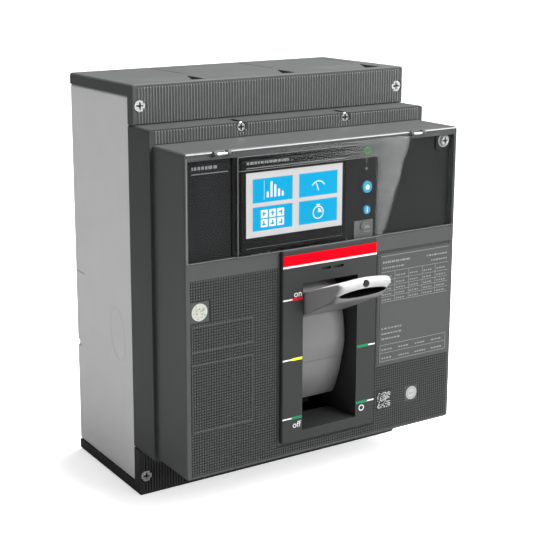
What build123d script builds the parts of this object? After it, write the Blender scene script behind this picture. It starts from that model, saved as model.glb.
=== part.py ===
from build123d import *
import os
from math import cos, radians, sin

# A three-pole molded case breaker. The origin is the centre of the rear mounting face: +X is to the
# right as seen from the front, +Y points to the panel behind, and +Z is up. Depths are given as
# positive distances in front of the mounting face, and heights are above or below the centre.

# Case
WIDTH = 210.0
HEIGHT = 268.0
BASE_DEPTH = 84.6
COVER_LIP_DEPTH = 91.3
MID_DEPTH = 112.8
FASCIA_DEPTH = 150.8
ESCUTCHEON_DEPTH = 154.0
BASE_INSET = 0.5
FASCIA_INSET = 2.0
COVER_PLATE = 7.5
UPPER_LIP = 25.0
LOWER_LIP = 31.5
WALL = 4.0
BACK_WALL = 6.0
FASCIA_WALL = 3.0
CORNER_RADIUS = 2.0
GAP = 0.3
RUNNING = 0.05
GROOVE_FROM_POLE = 23.6
GROOVE_WIDTH = 0.8
GROOVE_DEEP = 0.5
GROOVE_DEPTHS = (4.0, 50.0)
TOP_SLOT_WIDTH = 4.0
TOP_SLOT_DEEP = 1.2
TOP_SLOT_DEPTHS = (99.0, 110.0)
MECHANISM_TOP = 66.0

# Poles
POLE_PITCH = 70.0
PARTITION = 4.0
BAR_WIDTH = 44.0
BAR_REAR = 10.0
BAR_THICK = 10.0
POCKET_SIDE_ROOM = 2.5
CROSS_WALL_HEIGHT = 89.0
TERMINAL_END_GAP = 2.5
TERMINAL_HOLE_RADIUS = 5.5
TERMINAL_HOLE_FROM_END = 14.0
PANEL_HOLE_RADIUS = 3.0
PANEL_HOLE_FROM_END = 13.5

# Crossbar and contacts
CROSSBAR_DEPTH = 38.0
CROSSBAR_HEIGHT = -46.0
CROSSBAR_RADIUS = 9.0
BEARING_SIDE = 24.0
ARM_LENGTH = 80.0
ARM_HALF_WIDTH = 7.0
ARM_HALF_THICK = 5.0
HUB_RADIUS = 14.0
CONTACT_HEIGHT = 12.0
CONTACT_PAD = 3.0
CRANK_RADIUS = 34.0

# Handle
PIVOT_DEPTH = 63.0
PIVOT_HEIGHT = -34.0
PIVOT_PIN_RADIUS = 4.0
DRUM_RADIUS = 80.3
DRUM_THICK = 1.4
DRUM_HALF_WIDTH = 19.5
GUARD_ANGLES = (-8.5, 46.0)
CORE_ANGLES = (13.0, 25.0)
CORE_HALF_WIDTH = 11.0
SHIELD_ANGLES = (-30.0, 58.0)
SHIELD_WINDOW_ANGLES = (-6.5, 26.0)
SHIELD_WINDOW_HALF_WIDTH = 12.5
SHIELD_ARM_THICK = 1.2
LEVER_HALF_WIDTH = 19.0
LEVER_WALL = 3.0
LOCK_HOLE = (-0.8, 17.2)
LOCK_HOLE_RADIUS = 2.4
YOKE_HALF_WIDTH = 17.6
YOKE_SHEET = 2.0
YOKE_FROM_DRUM = 14.3
YOKE_THICK = 4.0
LEVER_ROOT_FROM_DRUM = 15.3
SPRING_TILT = 12.0
SPRING_X = 12.7
OPENING_HALF_WIDTH = 21.0
OPENING_LOW = -84.4
OPENING_HIGH = 11.6
SKIRT_WALL = 2.0
SKIRT_REAR = 113.0
GUARD_ROOM = 2.0

# Mechanism frame and links
SIDE_PLATE_ROOM = 2.5
SIDE_PLATE_THICK = 2.0
CRADLE_PIN = (74.0, 36.0)
CRADLE_LINK_PIN = (86.0, 12.0)
CRADLE_TIP = (98.0, 34.0)
KNEE = (61.6, -1.1)
LATCH_PIN = (101.0, 46.0)
TRIP_BAR_PIN = (94.0, 56.0)
TRIP_BAR_RADIUS = 4.0
LINK_PIN_RADIUS = 2.5
PLUNGER_X = 84.0
PLUNGER_DEPTH = 101.0
PLUNGER_RADIUS = 2.0
CROSS_PIN_RADIUS = 3.0
CRADLE_INNER = 10.2
CRADLE_OUTER = 12.2
UPPER_LINK_INNER = 8.7
UPPER_LINK_OUTER = 9.8
LOWER_LINK_INNER = 7.3
LOWER_LINK_OUTER = 8.4
LINK_HALF_WIDTH = 4.5
LATCH_HALF_WIDTH = 8.0
SPRING_COIL_RADIUS = 1.8
SPRING_WIRE_RADIUS = 0.6
SPRING_TURNS = 15
SPRING_END = (68.0, -3.4)
ACTUATOR_SIDE = 24.0
ACTUATOR_TALL = 16.0
ACTUATOR_FROM_TRIP_BAR = 10.0

# Window, trip unit and escutcheon
WINDOW_FROM_TOP = 5.0
WINDOW_HEIGHT = 61.5
WINDOW_SIDE = 2.5
UNIT_LEFT = -68.5
UNIT_RIGHT = 38.6
UNIT_WALL = 1.5
RAISED_RIGHT = 37.0
UNIT_REAR = 119.0
UNIT_FRONT = 147.8
PANEL_FRONT = 146.5
BEZEL_FRONT = 152.0
BUTTON_PROUD = 1.5
HOME_BUTTON_RADIUS = 3.8
INFO_BUTTON_RADIUS = 2.7
BUTTON_X = 31.2
BUTTON_COLLAR = 0.6
LED_RADIUS = 1.85
ESCUTCHEON_HALF_WIDTH = 36.3
CLEAR_THICK = 1.5
HINGE_RADIUS = 1.7
HINGE_PIN_RADIUS = 0.9
HINGE_DEPTH = 152.6
HINGE_PLACES = (-78.4, 68.0)
HINGE_WIDTH = 7.0
PANEL_THICK = 3.0
PANEL_RIM = 9.0
PANEL_BOSS = 1.5
PANEL_SCREW_LENGTH = 13.0
LED_FROM_TOP = 5.0
HOME_FROM_TOP = 28.3
INFO_FROM_TOP = 43.2
BUTTON_DEEP = 5.0
PORT_LEFT = 20.9
PORT_RIGHT = 36.3
PORT_TALL = 11.4
BEZEL_SIDES = (-65.0, 12.8)
SCREEN_SIDES = (-61.4, 9.6)
SCREEN_FROM_TOP = (56.4, 10.2)
BOARD_DEPTH = 125.0
BOARD_THICK = 1.6

# Labels
LABEL_THICK = 0.2
RED_STRIP_HALF_WIDTH = 35.6
RED_STRIP_FROM_TOP = (9.9, 3.4)
RATING_LABEL = (41.8, 99.0, -53.5, 20.0)
MATRIX_LABEL = (41.2, 52.3, -84.7, -72.6)
ROUND_STICKER = (-93.4, 3.9, 5.4)
TEST_STICKER = (70.1, -78.3, 4.5)

# Accessories and pole parts
ACCESSORY_X = 78.0
ACCESSORY_HALF_WIDTH = 17.0
ACCESSORY_DEEP = 27.0
ACCESSORY_HEIGHTS = (-72.0, 4.0)
CLAMP_RADIUS = 2.5
CHUTE_HALF_WIDTH = 28.5
CHEEK_THICK = 1.5
PLATE_PITCH = 5.0
SENSOR_HALF_WIDTH = 29.0
BRAID_THICK = 4.0

# Screws
SCREW_HEAD_RADIUS = 4.2
SCREW_HEAD_HEIGHT = 2.6
SCREW_SHANK_RADIUS = 2.0
SCREW_LENGTH = 16.0
SCREW_SEAT = 2.0
SMALL_HEAD_RADIUS = 3.2
SCREW_FROM_SIDE = 5.4
SCREW_FROM_TOP = 13.3
SCREW_FROM_BOTTOM = 12.7
MID_SCREW_X = 40.15
MID_SCREW_FROM_SEAM = 3.2

HALF_WIDTH = WIDTH / 2
HALF_HEIGHT = HEIGHT / 2
BASE_HALF_WIDTH = HALF_WIDTH - BASE_INSET
BASE_HALF_HEIGHT = HALF_HEIGHT - COVER_PLATE
UPPER_SEAM = HALF_HEIGHT - UPPER_LIP
LOWER_SEAM = LOWER_LIP - HALF_HEIGHT
FASCIA_HALF_WIDTH = HALF_WIDTH - FASCIA_INSET
FASCIA_TOP = UPPER_SEAM - 9.5
FASCIA_BOTTOM = LOWER_SEAM + 1.2
WINDOW_TOP = FASCIA_TOP - WINDOW_FROM_TOP
WINDOW_BOTTOM = WINDOW_TOP - WINDOW_HEIGHT
WINDOW_HALF_WIDTH = FASCIA_HALF_WIDTH - WINDOW_SIDE
ESCUTCHEON_TOP = WINDOW_BOTTOM + 1.0
ESCUTCHEON_BOTTOM = OPENING_LOW - 7.2
HINGE_HEIGHT = FASCIA_TOP - HINGE_RADIUS
BAR_FRONT = BAR_REAR + BAR_THICK
POCKET_WIDTH = BAR_WIDTH + 2 * POCKET_SIDE_ROOM
SIDE_PLATE_INNER = BAR_WIDTH / 2 + SIDE_PLATE_ROOM
YOKE_OUTER = DRUM_RADIUS - YOKE_FROM_DRUM
YOKE_INNER = YOKE_OUTER - YOKE_THICK
ARM_REAR = CROSSBAR_DEPTH - ARM_HALF_THICK
TERMINAL_END = BASE_HALF_HEIGHT - TERMINAL_END_GAP
BRAID_TOP = CROSSBAR_HEIGHT - HUB_RADIUS - 0.6
POLES = {"left": -POLE_PITCH, "centre": 0.0, "right": POLE_PITCH}
SHIELD_OUTER = DRUM_RADIUS - DRUM_THICK - 0.2
SHIELD_INNER = SHIELD_OUTER - DRUM_THICK


def block(left, right, rear, front, low, high):
    """A box between two sides, two depths in front of the mounting face and two heights."""
    middle = Pos((left + right) / 2, -(rear + front) / 2, (low + high) / 2)
    return middle * Box(right - left, front - rear, high - low)


def rod_across(radius, left, right, place):
    """A rod along X through a (depth, height) place."""
    middle = Pos((left + right) / 2, -place[0], place[1])
    return middle * Rot(0, 90, 0) * Cylinder(radius, right - left)


def rod_forward(radius, x, height, rear, front):
    """A rod along Y, from one depth to another."""
    return Pos(x, -(rear + front) / 2, height) * Rot(90, 0, 0) * Cylinder(radius, front - rear)


def rod_up(radius, x, depth, low, high):
    """A rod along Z, from one height to another."""
    return Pos(x, -depth, (low + high) / 2) * Cylinder(radius, high - low)


def profile(points, left, right):
    """A plate between two sides, whose outline is given as (depth, height) points."""
    outline = Polyline(*[(-depth, height) for depth, height in points], close=True)
    face = Plane.YZ * make_face(outline)
    return Pos(left, 0, 0) * extrude(face, right - left, dir=(1, 0, 0))


def polar(centre, radius, angle):
    """The (depth, height) place at an angle above straight ahead, round a centre."""
    return (centre[0] + radius * cos(radians(angle)), centre[1] + radius * sin(radians(angle)))


PIVOT = (PIVOT_DEPTH, PIVOT_HEIGHT)
CROSSBAR = (CROSSBAR_DEPTH, CROSSBAR_HEIGHT)
CRANK_PIN = polar(CROSSBAR, CRANK_RADIUS, 88.0)


def sector(centre, inner, outer, low_angle, high_angle, left, right):
    """A curved plate round an axis along X, between two radii and two angles."""
    ring = rod_across(outer, left, right, centre) - rod_across(inner, left, right, centre)
    far = 2 * outer
    middle_angle = (low_angle + high_angle) / 2
    corners = [polar(centre, far, angle) for angle in (low_angle, middle_angle, high_angle)]
    return ring & profile([centre] + corners, left, right)


def strap(first, second, radius, left, right):
    """A flat link with round ends between two (depth, height) places."""
    run = (second[0] - first[0], second[1] - first[1])
    length = (run[0] ** 2 + run[1] ** 2) ** 0.5
    side = (-run[1] / length * radius, run[0] / length * radius)
    corners = [
        (first[0] + side[0], first[1] + side[1]),
        (second[0] + side[0], second[1] + side[1]),
        (second[0] - side[0], second[1] - side[1]),
        (first[0] - side[0], first[1] - side[1]),
    ]
    ends = rod_across(radius, left, right, first) + rod_across(radius, left, right, second)
    return profile(corners, left, right) + ends


def both_sides(shape):
    """A piece and its mirror image on the other side of the centre."""
    return [shape, mirror(shape, Plane.YZ)]


def group(*shapes):
    """Separate solids that are kept together in one node."""
    return Compound(children=[solid for shape in shapes for solid in shape.solids()])


# ---- Case ----


def base_case():
    """The light-grey base: back wall, side walls, pole partitions and terminal pockets."""
    case = block(-BASE_HALF_WIDTH, BASE_HALF_WIDTH, 0, BASE_DEPTH, -BASE_HALF_HEIGHT, BASE_HALF_HEIGHT)
    case = fillet(case.edges().filter_by(Axis.Y), CORNER_RADIUS)
    chamber_end = BASE_HALF_WIDTH - WALL
    half_partition = PARTITION / 2
    first_wall = POLE_PITCH / 2
    chambers = [
        (-chamber_end, -first_wall - half_partition),
        (-first_wall + half_partition, first_wall - half_partition),
        (first_wall + half_partition, chamber_end),
    ]
    for left, right in chambers:
        case -= block(left, right, BACK_WALL, BASE_DEPTH, -CROSS_WALL_HEIGHT, CROSS_WALL_HEIGHT)
    slot = BAR_WIDTH / 2 + GAP
    for x in POLES.values():
        for side in (-1, 1):
            near = side * (CROSS_WALL_HEIGHT + WALL)
            far = side * (BASE_HALF_HEIGHT + 1)
            low, high = sorted((near, far))
            case -= block(x - POCKET_WIDTH / 2, x + POCKET_WIDTH / 2, BACK_WALL, BASE_DEPTH, low, high)
            low, high = sorted((side * (CROSS_WALL_HEIGHT - 1), near))
            case -= block(x - slot, x + slot, BAR_REAR - GAP, BAR_FRONT + GAP, low, high)
    half_slot = BEARING_SIDE / 2
    slot_low = CROSSBAR_HEIGHT - half_slot
    slot_high = CROSSBAR_HEIGHT + half_slot
    for x in (-first_wall, first_wall):
        case -= block(x - 3, x + 3, CROSSBAR_DEPTH - half_slot, BASE_DEPTH, slot_low, slot_high)
        for side in (-1, 1):
            height = side * (HALF_HEIGHT - PANEL_HOLE_FROM_END)
            case -= rod_forward(PANEL_HOLE_RADIUS, x, height, -1, BASE_DEPTH + 1)
    for place in cover_screw_places() + mid_screw_places():
        case -= rod_forward(SCREW_SHANK_RADIUS, place[0], place[1], BASE_DEPTH - SCREW_LENGTH, BASE_DEPTH)
    for side in (-1, 1):
        edge = side * BASE_HALF_WIDTH
        case -= block(*sorted((edge, edge - side * 0.6)), 1.5, 13.8, -2.6, -1.4)
        case -= block(*sorted((edge, edge - side * 1.2)), -1, 6.0, -56.0, -52.0)
    return case


def cover_screw_places():
    """The (x, height) places of the four terminal cover screws."""
    x = HALF_WIDTH - SCREW_FROM_SIDE
    top = HALF_HEIGHT - SCREW_FROM_TOP
    bottom = SCREW_FROM_BOTTOM - HALF_HEIGHT
    return [(-x, top), (x, top), (-x, bottom), (x, bottom)]


def mid_screw_places():
    """The (x, height) places of the two screws above the fascia."""
    height = UPPER_SEAM - MID_SCREW_FROM_SEAM
    return [(-MID_SCREW_X, height), (MID_SCREW_X, height)]


def terminal_cover(side, lip):
    """A cover over one row of terminals: an end plate and a lip down the front, with screw holes."""
    end = side * HALF_HEIGHT
    inner = side * BASE_HALF_HEIGHT
    seam = side * (HALF_HEIGHT - lip)
    cover = block(-HALF_WIDTH, HALF_WIDTH, 0, COVER_LIP_DEPTH, *sorted((inner, end)))
    cover += block(-HALF_WIDTH, HALF_WIDTH, BASE_DEPTH, COVER_LIP_DEPTH, *sorted((seam, end)))
    rim = [edge for edge in cover.edges().filter_by(Axis.Y) if abs(edge.center().Z) > HALF_HEIGHT - 1]
    cover = fillet(rim, CORNER_RADIUS)
    front = cover.edges().filter_by(Axis.X).group_by(Axis.Y)[0]
    cover = chamfer(front, 0.6)
    for x in POLES.values():
        near = side * (HALF_HEIGHT + 1)
        floor = side * (HALF_HEIGHT - 4.5)
        pocket = [(62.0, side * HALF_HEIGHT), (62.0, near), (85.0, near), (85.0, floor), (81.0, floor)]
        cover -= profile(pocket, x - 20.0, x + 20.0)
        groove = x + GROOVE_FROM_POLE
        deep = side * (HALF_HEIGHT - GROOVE_DEEP)
        cover -= block(groove, groove + GROOVE_WIDTH, *GROOVE_DEPTHS, *sorted((deep, near)))
    places = [place for place in cover_screw_places() if place[1] * side > 0]
    for x, height in places:
        seat = COVER_LIP_DEPTH - SCREW_SEAT
        cover -= rod_forward(SCREW_HEAD_RADIUS + GAP, x, height, seat, COVER_LIP_DEPTH + 2)
        cover -= rod_forward(SCREW_SHANK_RADIUS, x, height, BASE_DEPTH - 1, COVER_LIP_DEPTH)
    return cover


def mid_cover():
    """The dark middle frame between the base and the fascia."""
    cover = block(-HALF_WIDTH, HALF_WIDTH, BASE_DEPTH, MID_DEPTH, LOWER_SEAM, UPPER_SEAM)
    cover = fillet(cover.edges().filter_by(Axis.Y), CORNER_RADIUS)
    first_wall = POLE_PITCH / 2
    half_partition = PARTITION / 2
    inner_end = HALF_WIDTH - WALL
    inner_front = MID_DEPTH - WALL
    low = LOWER_SEAM + WALL
    high = FASCIA_TOP - WALL
    cover -= block(-inner_end, -first_wall - half_partition, BASE_DEPTH, inner_front, low, high)
    cover -= block(first_wall + half_partition, inner_end, BASE_DEPTH, inner_front, low, high)
    centre = first_wall - half_partition
    cover -= block(-centre, centre, BASE_DEPTH, inner_front, low, high)
    cover -= block(-centre, centre, BASE_DEPTH, MID_DEPTH, low, MECHANISM_TOP)
    depth, height = TRIP_BAR_PIN
    slot = TRIP_BAR_RADIUS + RUNNING
    for x in (-first_wall, first_wall):
        cover -= block(x - 3, x + 3, BASE_DEPTH, depth, height - slot, height + slot)
        cover -= rod_across(slot, x - 3, x + 3, TRIP_BAR_PIN)
    for x, place_height in mid_screw_places():
        cover -= rod_forward(SMALL_HEAD_RADIUS + 0.1, x, place_height, MID_DEPTH - SCREW_SEAT, MID_DEPTH + 2)
        cover -= rod_forward(SCREW_SHANK_RADIUS, x, place_height, BASE_DEPTH - 1, MID_DEPTH)
        half = TOP_SLOT_WIDTH / 2
        cover -= block(x - half, x + half, *TOP_SLOT_DEPTHS, UPPER_SEAM - TOP_SLOT_DEEP, UPPER_SEAM + 1)
    return cover


def front_cover():
    """The raised fascia with its window opening and the opening for the handle plate."""
    half = FASCIA_HALF_WIDTH
    cover = block(-half, half, MID_DEPTH, FASCIA_DEPTH, FASCIA_BOTTOM, FASCIA_TOP)
    cover = fillet(cover.edges().filter_by(Axis.Y), CORNER_RADIUS)
    cover = chamfer(cover.faces().sort_by(Axis.Y)[0].edges(), 0.6)
    inner = half - FASCIA_WALL
    low = FASCIA_BOTTOM + FASCIA_WALL
    high = FASCIA_TOP - FASCIA_WALL
    cover -= block(-inner, inner, MID_DEPTH, FASCIA_DEPTH - FASCIA_WALL, low, high)
    window = WINDOW_HALF_WIDTH
    cover -= block(-window, window, MID_DEPTH, FASCIA_DEPTH + 1, WINDOW_BOTTOM, WINDOW_TOP)
    skirt = OPENING_HALF_WIDTH + SKIRT_WALL
    opening_low = OPENING_LOW - SKIRT_WALL
    opening_high = OPENING_HIGH + SKIRT_WALL
    cover -= block(-skirt, skirt, FASCIA_DEPTH - 10, FASCIA_DEPTH + 1, opening_low, opening_high)
    ears = []
    for x in HINGE_PLACES:
        for side in (-1, 1):
            near = x + side * (HINGE_WIDTH / 2 + 0.2)
            far = near + side * 2.0
            left, right = sorted((near, far))
            ears.append(block(left, right, FASCIA_DEPTH - 0.5, HINGE_DEPTH, HINGE_HEIGHT - 1.5, FASCIA_TOP))
            ears.append(rod_across(HINGE_RADIUS - 0.2, left, right, (HINGE_DEPTH, HINGE_HEIGHT)))
    for ear in ears:
        cover += ear
    for x in HINGE_PLACES:
        cover -= rod_across(HINGE_PIN_RADIUS, x - 20, x + 20, (HINGE_DEPTH, HINGE_HEIGHT))
    return cover


def handle_escutcheon():
    """The plate round the handle opening, with a skirt that locates it in the fascia."""
    half = ESCUTCHEON_HALF_WIDTH
    plate = block(-half, half, FASCIA_DEPTH, ESCUTCHEON_DEPTH, ESCUTCHEON_BOTTOM, ESCUTCHEON_TOP)
    plate = fillet(plate.edges().filter_by(Axis.Y), 1.5)
    plate = chamfer(plate.faces().sort_by(Axis.Y)[0].edges(), 0.7)
    wide = OPENING_HALF_WIDTH + SKIRT_WALL
    skirt_low = OPENING_LOW - SKIRT_WALL
    skirt_high = OPENING_HIGH + SKIRT_WALL
    plate += block(-wide, wide, SKIRT_REAR, FASCIA_DEPTH, skirt_low, skirt_high)
    hole = OPENING_HALF_WIDTH
    plate -= block(-hole, hole, SKIRT_REAR - 1, ESCUTCHEON_DEPTH + 1, OPENING_LOW, OPENING_HIGH)
    room = DRUM_RADIUS + GUARD_ROOM
    plate -= rod_across(room, -hole, hole, PIVOT)
    slot_low = ESCUTCHEON_TOP - 15.7
    slot_high = ESCUTCHEON_TOP - 14.0
    for left, right in ((-7.0, -0.2), (1.7, 9.7)):
        plate -= block(left, right, FASCIA_DEPTH + 1, ESCUTCHEON_DEPTH + 1, slot_low, slot_high)
    return plate


def label(left, right, low, high, depth):
    """A thin flat label lying on a face."""
    return block(left, right, depth, depth + LABEL_THICK, low, high)


def round_label(x, height, radius):
    """A thin round label lying on the fascia."""
    return rod_forward(radius, x, height, FASCIA_DEPTH, FASCIA_DEPTH + LABEL_THICK)


def clear_cover():
    """The hinged transparent cover over the window, raised over the trip unit."""
    half = FASCIA_HALF_WIDTH - 0.5
    rear = FASCIA_DEPTH + 0.2
    front = rear + CLEAR_THICK
    low = WINDOW_BOTTOM + 1.2
    top = HINGE_HEIGHT
    cover = block(-half, half, rear, front, low, top)
    step = 1.2
    raised_left = UNIT_LEFT
    raised_right = RAISED_RIGHT
    high = WINDOW_TOP + 0.5
    cover += block(raised_left, raised_right, rear, ESCUTCHEON_DEPTH, low, high)
    inner_front = ESCUTCHEON_DEPTH - step
    cover -= block(raised_left + step, raised_right - step, rear - 1, inner_front, low + step, high - step)
    for x in HINGE_PLACES:
        reach = HINGE_WIDTH / 2 + 2.6
        cover -= block(x - reach, x + reach, rear - 1, front + 1, top - 2.4, top + 1)
        width = HINGE_WIDTH / 2
        cover += block(x - width, x + width, rear, front, top - 3, top)
        cover += rod_across(HINGE_RADIUS - 0.2, x - width, x + width, (HINGE_DEPTH, HINGE_HEIGHT))
        hole = HINGE_PIN_RADIUS + RUNNING
        cover -= rod_across(hole, x - width - 1, x + width + 1, (HINGE_DEPTH, HINGE_HEIGHT))
    for x in (-76.0, -66.0, 17.0, 31.0):
        cover += block(x - 2, x + 2, rear, front + 0.8, low, low + 1.6)
    return cover


def cover_hinge_pins():
    """The two short pins that the clear cover turns on."""
    reach = HINGE_WIDTH / 2 + 2.2
    place = (HINGE_DEPTH, HINGE_HEIGHT)
    return group(*[rod_across(HINGE_PIN_RADIUS, x - reach, x + reach, place) for x in HINGE_PLACES])


def blank_panel(left, right, boss):
    """A black panel that closes one side compartment of the window."""
    low = WINDOW_BOTTOM + GAP
    high = WINDOW_TOP - GAP
    rear = PANEL_FRONT - PANEL_THICK
    panel = block(left, right, rear, PANEL_FRONT, low, high)
    panel += block(left, right, rear - PANEL_RIM, rear, low, low + PANEL_THICK)
    panel += block(left, right, rear - PANEL_RIM, rear, high - PANEL_THICK, high)
    if boss:
        x, height = panel_screw_place()
        boss_front = PANEL_FRONT + PANEL_BOSS
        panel += block(x - 6, right, PANEL_FRONT, boss_front, height - 5.5, high)
        panel += rod_forward(5.5, x - 0.5, height - 2, PANEL_FRONT, boss_front)
        panel -= rod_forward(SCREW_SHANK_RADIUS, x, height, PANEL_FRONT - PANEL_SCREW_LENGTH, boss_front + 1)
    return panel


def panel_screw_place():
    """The (x, height) place of the screw in the right-hand panel."""
    return (WINDOW_HALF_WIDTH - 6.5, WINDOW_TOP - 4.0)


def screw(x, height, seat, length, radius):
    """A cross-head screw, with its head in front of its seat."""
    head = rod_forward(radius, x, height, seat, seat + SCREW_HEAD_HEIGHT - 0.8)
    head = chamfer(head.faces().sort_by(Axis.Y)[0].edges(), 0.5)
    head -= block(x - 0.6, x + 0.6, seat + 0.8, seat + 3, height - 2.4, height + 2.4)
    head -= block(x - 2.4, x + 2.4, seat + 0.8, seat + 3, height - 0.6, height + 0.6)
    return head + rod_forward(SCREW_SHANK_RADIUS, x, height, seat - length, seat)


# ---- Trip unit ----


def trip_unit_housing():
    """The case of the electronic trip unit, with the two button holes and the port opening."""
    left = UNIT_LEFT + GAP
    right = UNIT_RIGHT - GAP
    low = WINDOW_BOTTOM + GAP
    high = WINDOW_TOP - GAP
    case = block(left, right, UNIT_REAR, UNIT_FRONT, low, high)
    wall = UNIT_WALL
    case -= block(left + wall, right - wall, UNIT_REAR + wall, UNIT_FRONT - wall, low + wall, high - wall)
    for height, radius in button_places():
        case -= rod_forward(radius + RUNNING, BUTTON_X, height, UNIT_FRONT - 4, UNIT_FRONT + 1)
    case -= rod_forward(LED_RADIUS, BUTTON_X, WINDOW_TOP - LED_FROM_TOP, UNIT_FRONT - 4, UNIT_FRONT + 1)
    port = port_box()
    case -= block(port[0] + 2, port[1] - 2, UNIT_FRONT - 4, UNIT_FRONT + 1, port[2] + 2, port[3] - 2)
    return case


def button_places():
    """The (height, radius) of the two buttons, top one first."""
    home = (WINDOW_TOP - HOME_FROM_TOP, HOME_BUTTON_RADIUS)
    info = (WINDOW_TOP - INFO_FROM_TOP, INFO_BUTTON_RADIUS)
    return [home, info]


def port_box():
    """The left, right, low and high edges of the port cover."""
    low = WINDOW_BOTTOM + GAP
    return (PORT_LEFT, PORT_RIGHT, low, low + PORT_TALL)


def bezel_box():
    """The left, right, low and high edges of the display bezel."""
    return (*BEZEL_SIDES, WINDOW_BOTTOM + 3.0, WINDOW_TOP - 3.2)


def screen_box():
    """The left, right, low and high edges of the display glass."""
    return (*SCREEN_SIDES, WINDOW_TOP - SCREEN_FROM_TOP[0], WINDOW_TOP - SCREEN_FROM_TOP[1])


def display_bezel():
    """The raised frame round the display."""
    left, right, low, high = bezel_box()
    frame = block(left, right, UNIT_FRONT, BEZEL_FRONT, low, high)
    frame = fillet(frame.edges().filter_by(Axis.Y), 1.5)
    frame = chamfer(frame.faces().sort_by(Axis.Y)[0].edges(), 0.5)
    screen = screen_box()
    return frame - block(screen[0], screen[1], UNIT_FRONT + 1, BEZEL_FRONT + 1, screen[2], screen[3])


def display_screen():
    """The display glass, set into the bezel."""
    left, right, low, high = screen_box()
    return block(left, right, UNIT_FRONT + 1, BEZEL_FRONT - 0.3, low, high)


def circuit_board():
    """The trip unit's board, with its chips and the coils of two chokes."""
    front = BOARD_DEPTH + BOARD_THICK
    board = block(-62, 30, BOARD_DEPTH, front, WINDOW_BOTTOM + 6, WINDOW_TOP - 6)
    for x, height, size, rise in ((-40, -20, 9, 2), (-12, -34, 6, 3), (8, -16, 5, 5), (-50, -40, 6, 8)):
        top = WINDOW_TOP + height
        board += block(x - size, x + size, front, front + rise, top - size, top + size)
    return board


def push_button(height, radius):
    """A round button with a collar that stops it coming out through the housing."""
    rear = UNIT_FRONT - BUTTON_DEEP
    cap = rod_forward(radius, BUTTON_X, height, rear, UNIT_FRONT + BUTTON_PROUD)
    cap = fillet(cap.faces().sort_by(Axis.Y)[0].edges(), 0.4)
    return cap + rod_forward(radius + BUTTON_COLLAR, BUTTON_X, height, rear, UNIT_FRONT - UNIT_WALL - 0.1)


def port_cover():
    """The soft plug that closes the test port, with a half-round pull tab."""
    left, right, low, high = port_box()
    plug = block(left + 0.2, right - 0.2, UNIT_FRONT, UNIT_FRONT + 1.2, low, high)
    plug += block(left + 2, right - 2, UNIT_FRONT - 3, UNIT_FRONT, low + 2, high - 2)
    middle = (left + right) / 2
    tab = rod_forward(2.6, middle, high - 3.4, UNIT_FRONT + 1.2, UNIT_FRONT + 2.0)
    return plug + tab


def power_led():
    """The ring light above the buttons."""
    return rod_forward(LED_RADIUS, BUTTON_X, WINDOW_TOP - LED_FROM_TOP, UNIT_FRONT - 3, UNIT_FRONT + 0.6)


# ---- Handle and mechanism ----


def handle():
    """The moulded handle: a curved guard, a hollow lever and a core that meets the yoke."""
    half = DRUM_HALF_WIDTH
    guard = sector(PIVOT, DRUM_RADIUS - DRUM_THICK, DRUM_RADIUS, *GUARD_ANGLES, -half, half)
    core = sector(PIVOT, YOKE_OUTER, DRUM_RADIUS - 0.5, *CORE_ANGLES, -CORE_HALF_WIDTH, CORE_HALF_WIDTH)
    side = LEVER_HALF_WIDTH
    root = PIVOT_DEPTH + DRUM_RADIUS - LEVER_ROOT_FROM_DRUM
    outline = [
        (root, -6.0), (146.0, 1.8), (153.4, 5.5), (186.6, 20.4), (189.8, 20.2), (190.8, 18.8),
        (190.8, 14.2), (183.4, 7.0), (174.1, 3.4), (142.2, -13.1), (root, -16.0),
    ]
    lever = profile(outline, -side, side)
    lever = fillet(lever.edges().filter_by(Axis.X).sort_by(Axis.Y)[0:4], 0.5)
    lever -= rod_across(DRUM_RADIUS - 0.7, -side - 1, side + 1, PIVOT)
    hollow = [
        (158, 1.5), (185, 14.8), (190, 14.2), (191.3, 12.5), (184.3, 7.1), (180.5, 9.2), (158, -2.5),
    ]
    lever -= profile(hollow, -side + LEVER_WALL, side - LEVER_WALL)
    lever -= rod_forward(LOCK_HOLE_RADIUS, *LOCK_HOLE, 185, 192)
    return guard + core + lever


def handle_yoke():
    """The steel fork that carries the handle and turns on the two pivot pins."""
    half = YOKE_HALF_WIDTH
    yoke = sector(PIVOT, YOKE_INNER, YOKE_OUTER, *CORE_ANGLES, -half, half)
    for side in (-1, 1):
        left, right = sorted((side * half, side * (half - YOKE_SHEET)))
        yoke += strap(PIVOT, polar(PIVOT, YOKE_INNER + 1, 19.0), 7.0, left, right)
        yoke -= rod_across(PIVOT_PIN_RADIUS + RUNNING, left - 1, right + 1, PIVOT)
    return yoke


def handle_shield():
    """The sliding guard behind the handle that keeps the opening closed, with its two arms."""
    half = DRUM_HALF_WIDTH - 0.2
    guard = sector(PIVOT, SHIELD_INNER, SHIELD_OUTER, *SHIELD_ANGLES, -half, half)
    window = SHIELD_WINDOW_HALF_WIDTH
    guard -= sector(PIVOT, SHIELD_INNER - 1, SHIELD_OUTER + 1, *SHIELD_WINDOW_ANGLES, -window, window)
    for side in (-1, 1):
        left, right = sorted((side * half, side * (half - SHIELD_ARM_THICK)))
        arm = strap(PIVOT, polar(PIVOT, SHIELD_INNER - 8, -19.0), 6.5, left, right)
        guard += arm + sector(PIVOT, YOKE_INNER - 2, SHIELD_INNER + 0.2, -24.0, -14.0, left, right)
        guard -= rod_across(PIVOT_PIN_RADIUS + RUNNING, left - 1, right + 1, PIVOT)
    return guard


def handle_pivot_pins():
    """The two stub pins that the handle yoke and the shield turn on."""
    outer = SIDE_PLATE_INNER + SIDE_PLATE_THICK
    return group(*both_sides(rod_across(PIVOT_PIN_RADIUS, YOKE_HALF_WIDTH - YOKE_SHEET, outer, PIVOT)))


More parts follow.
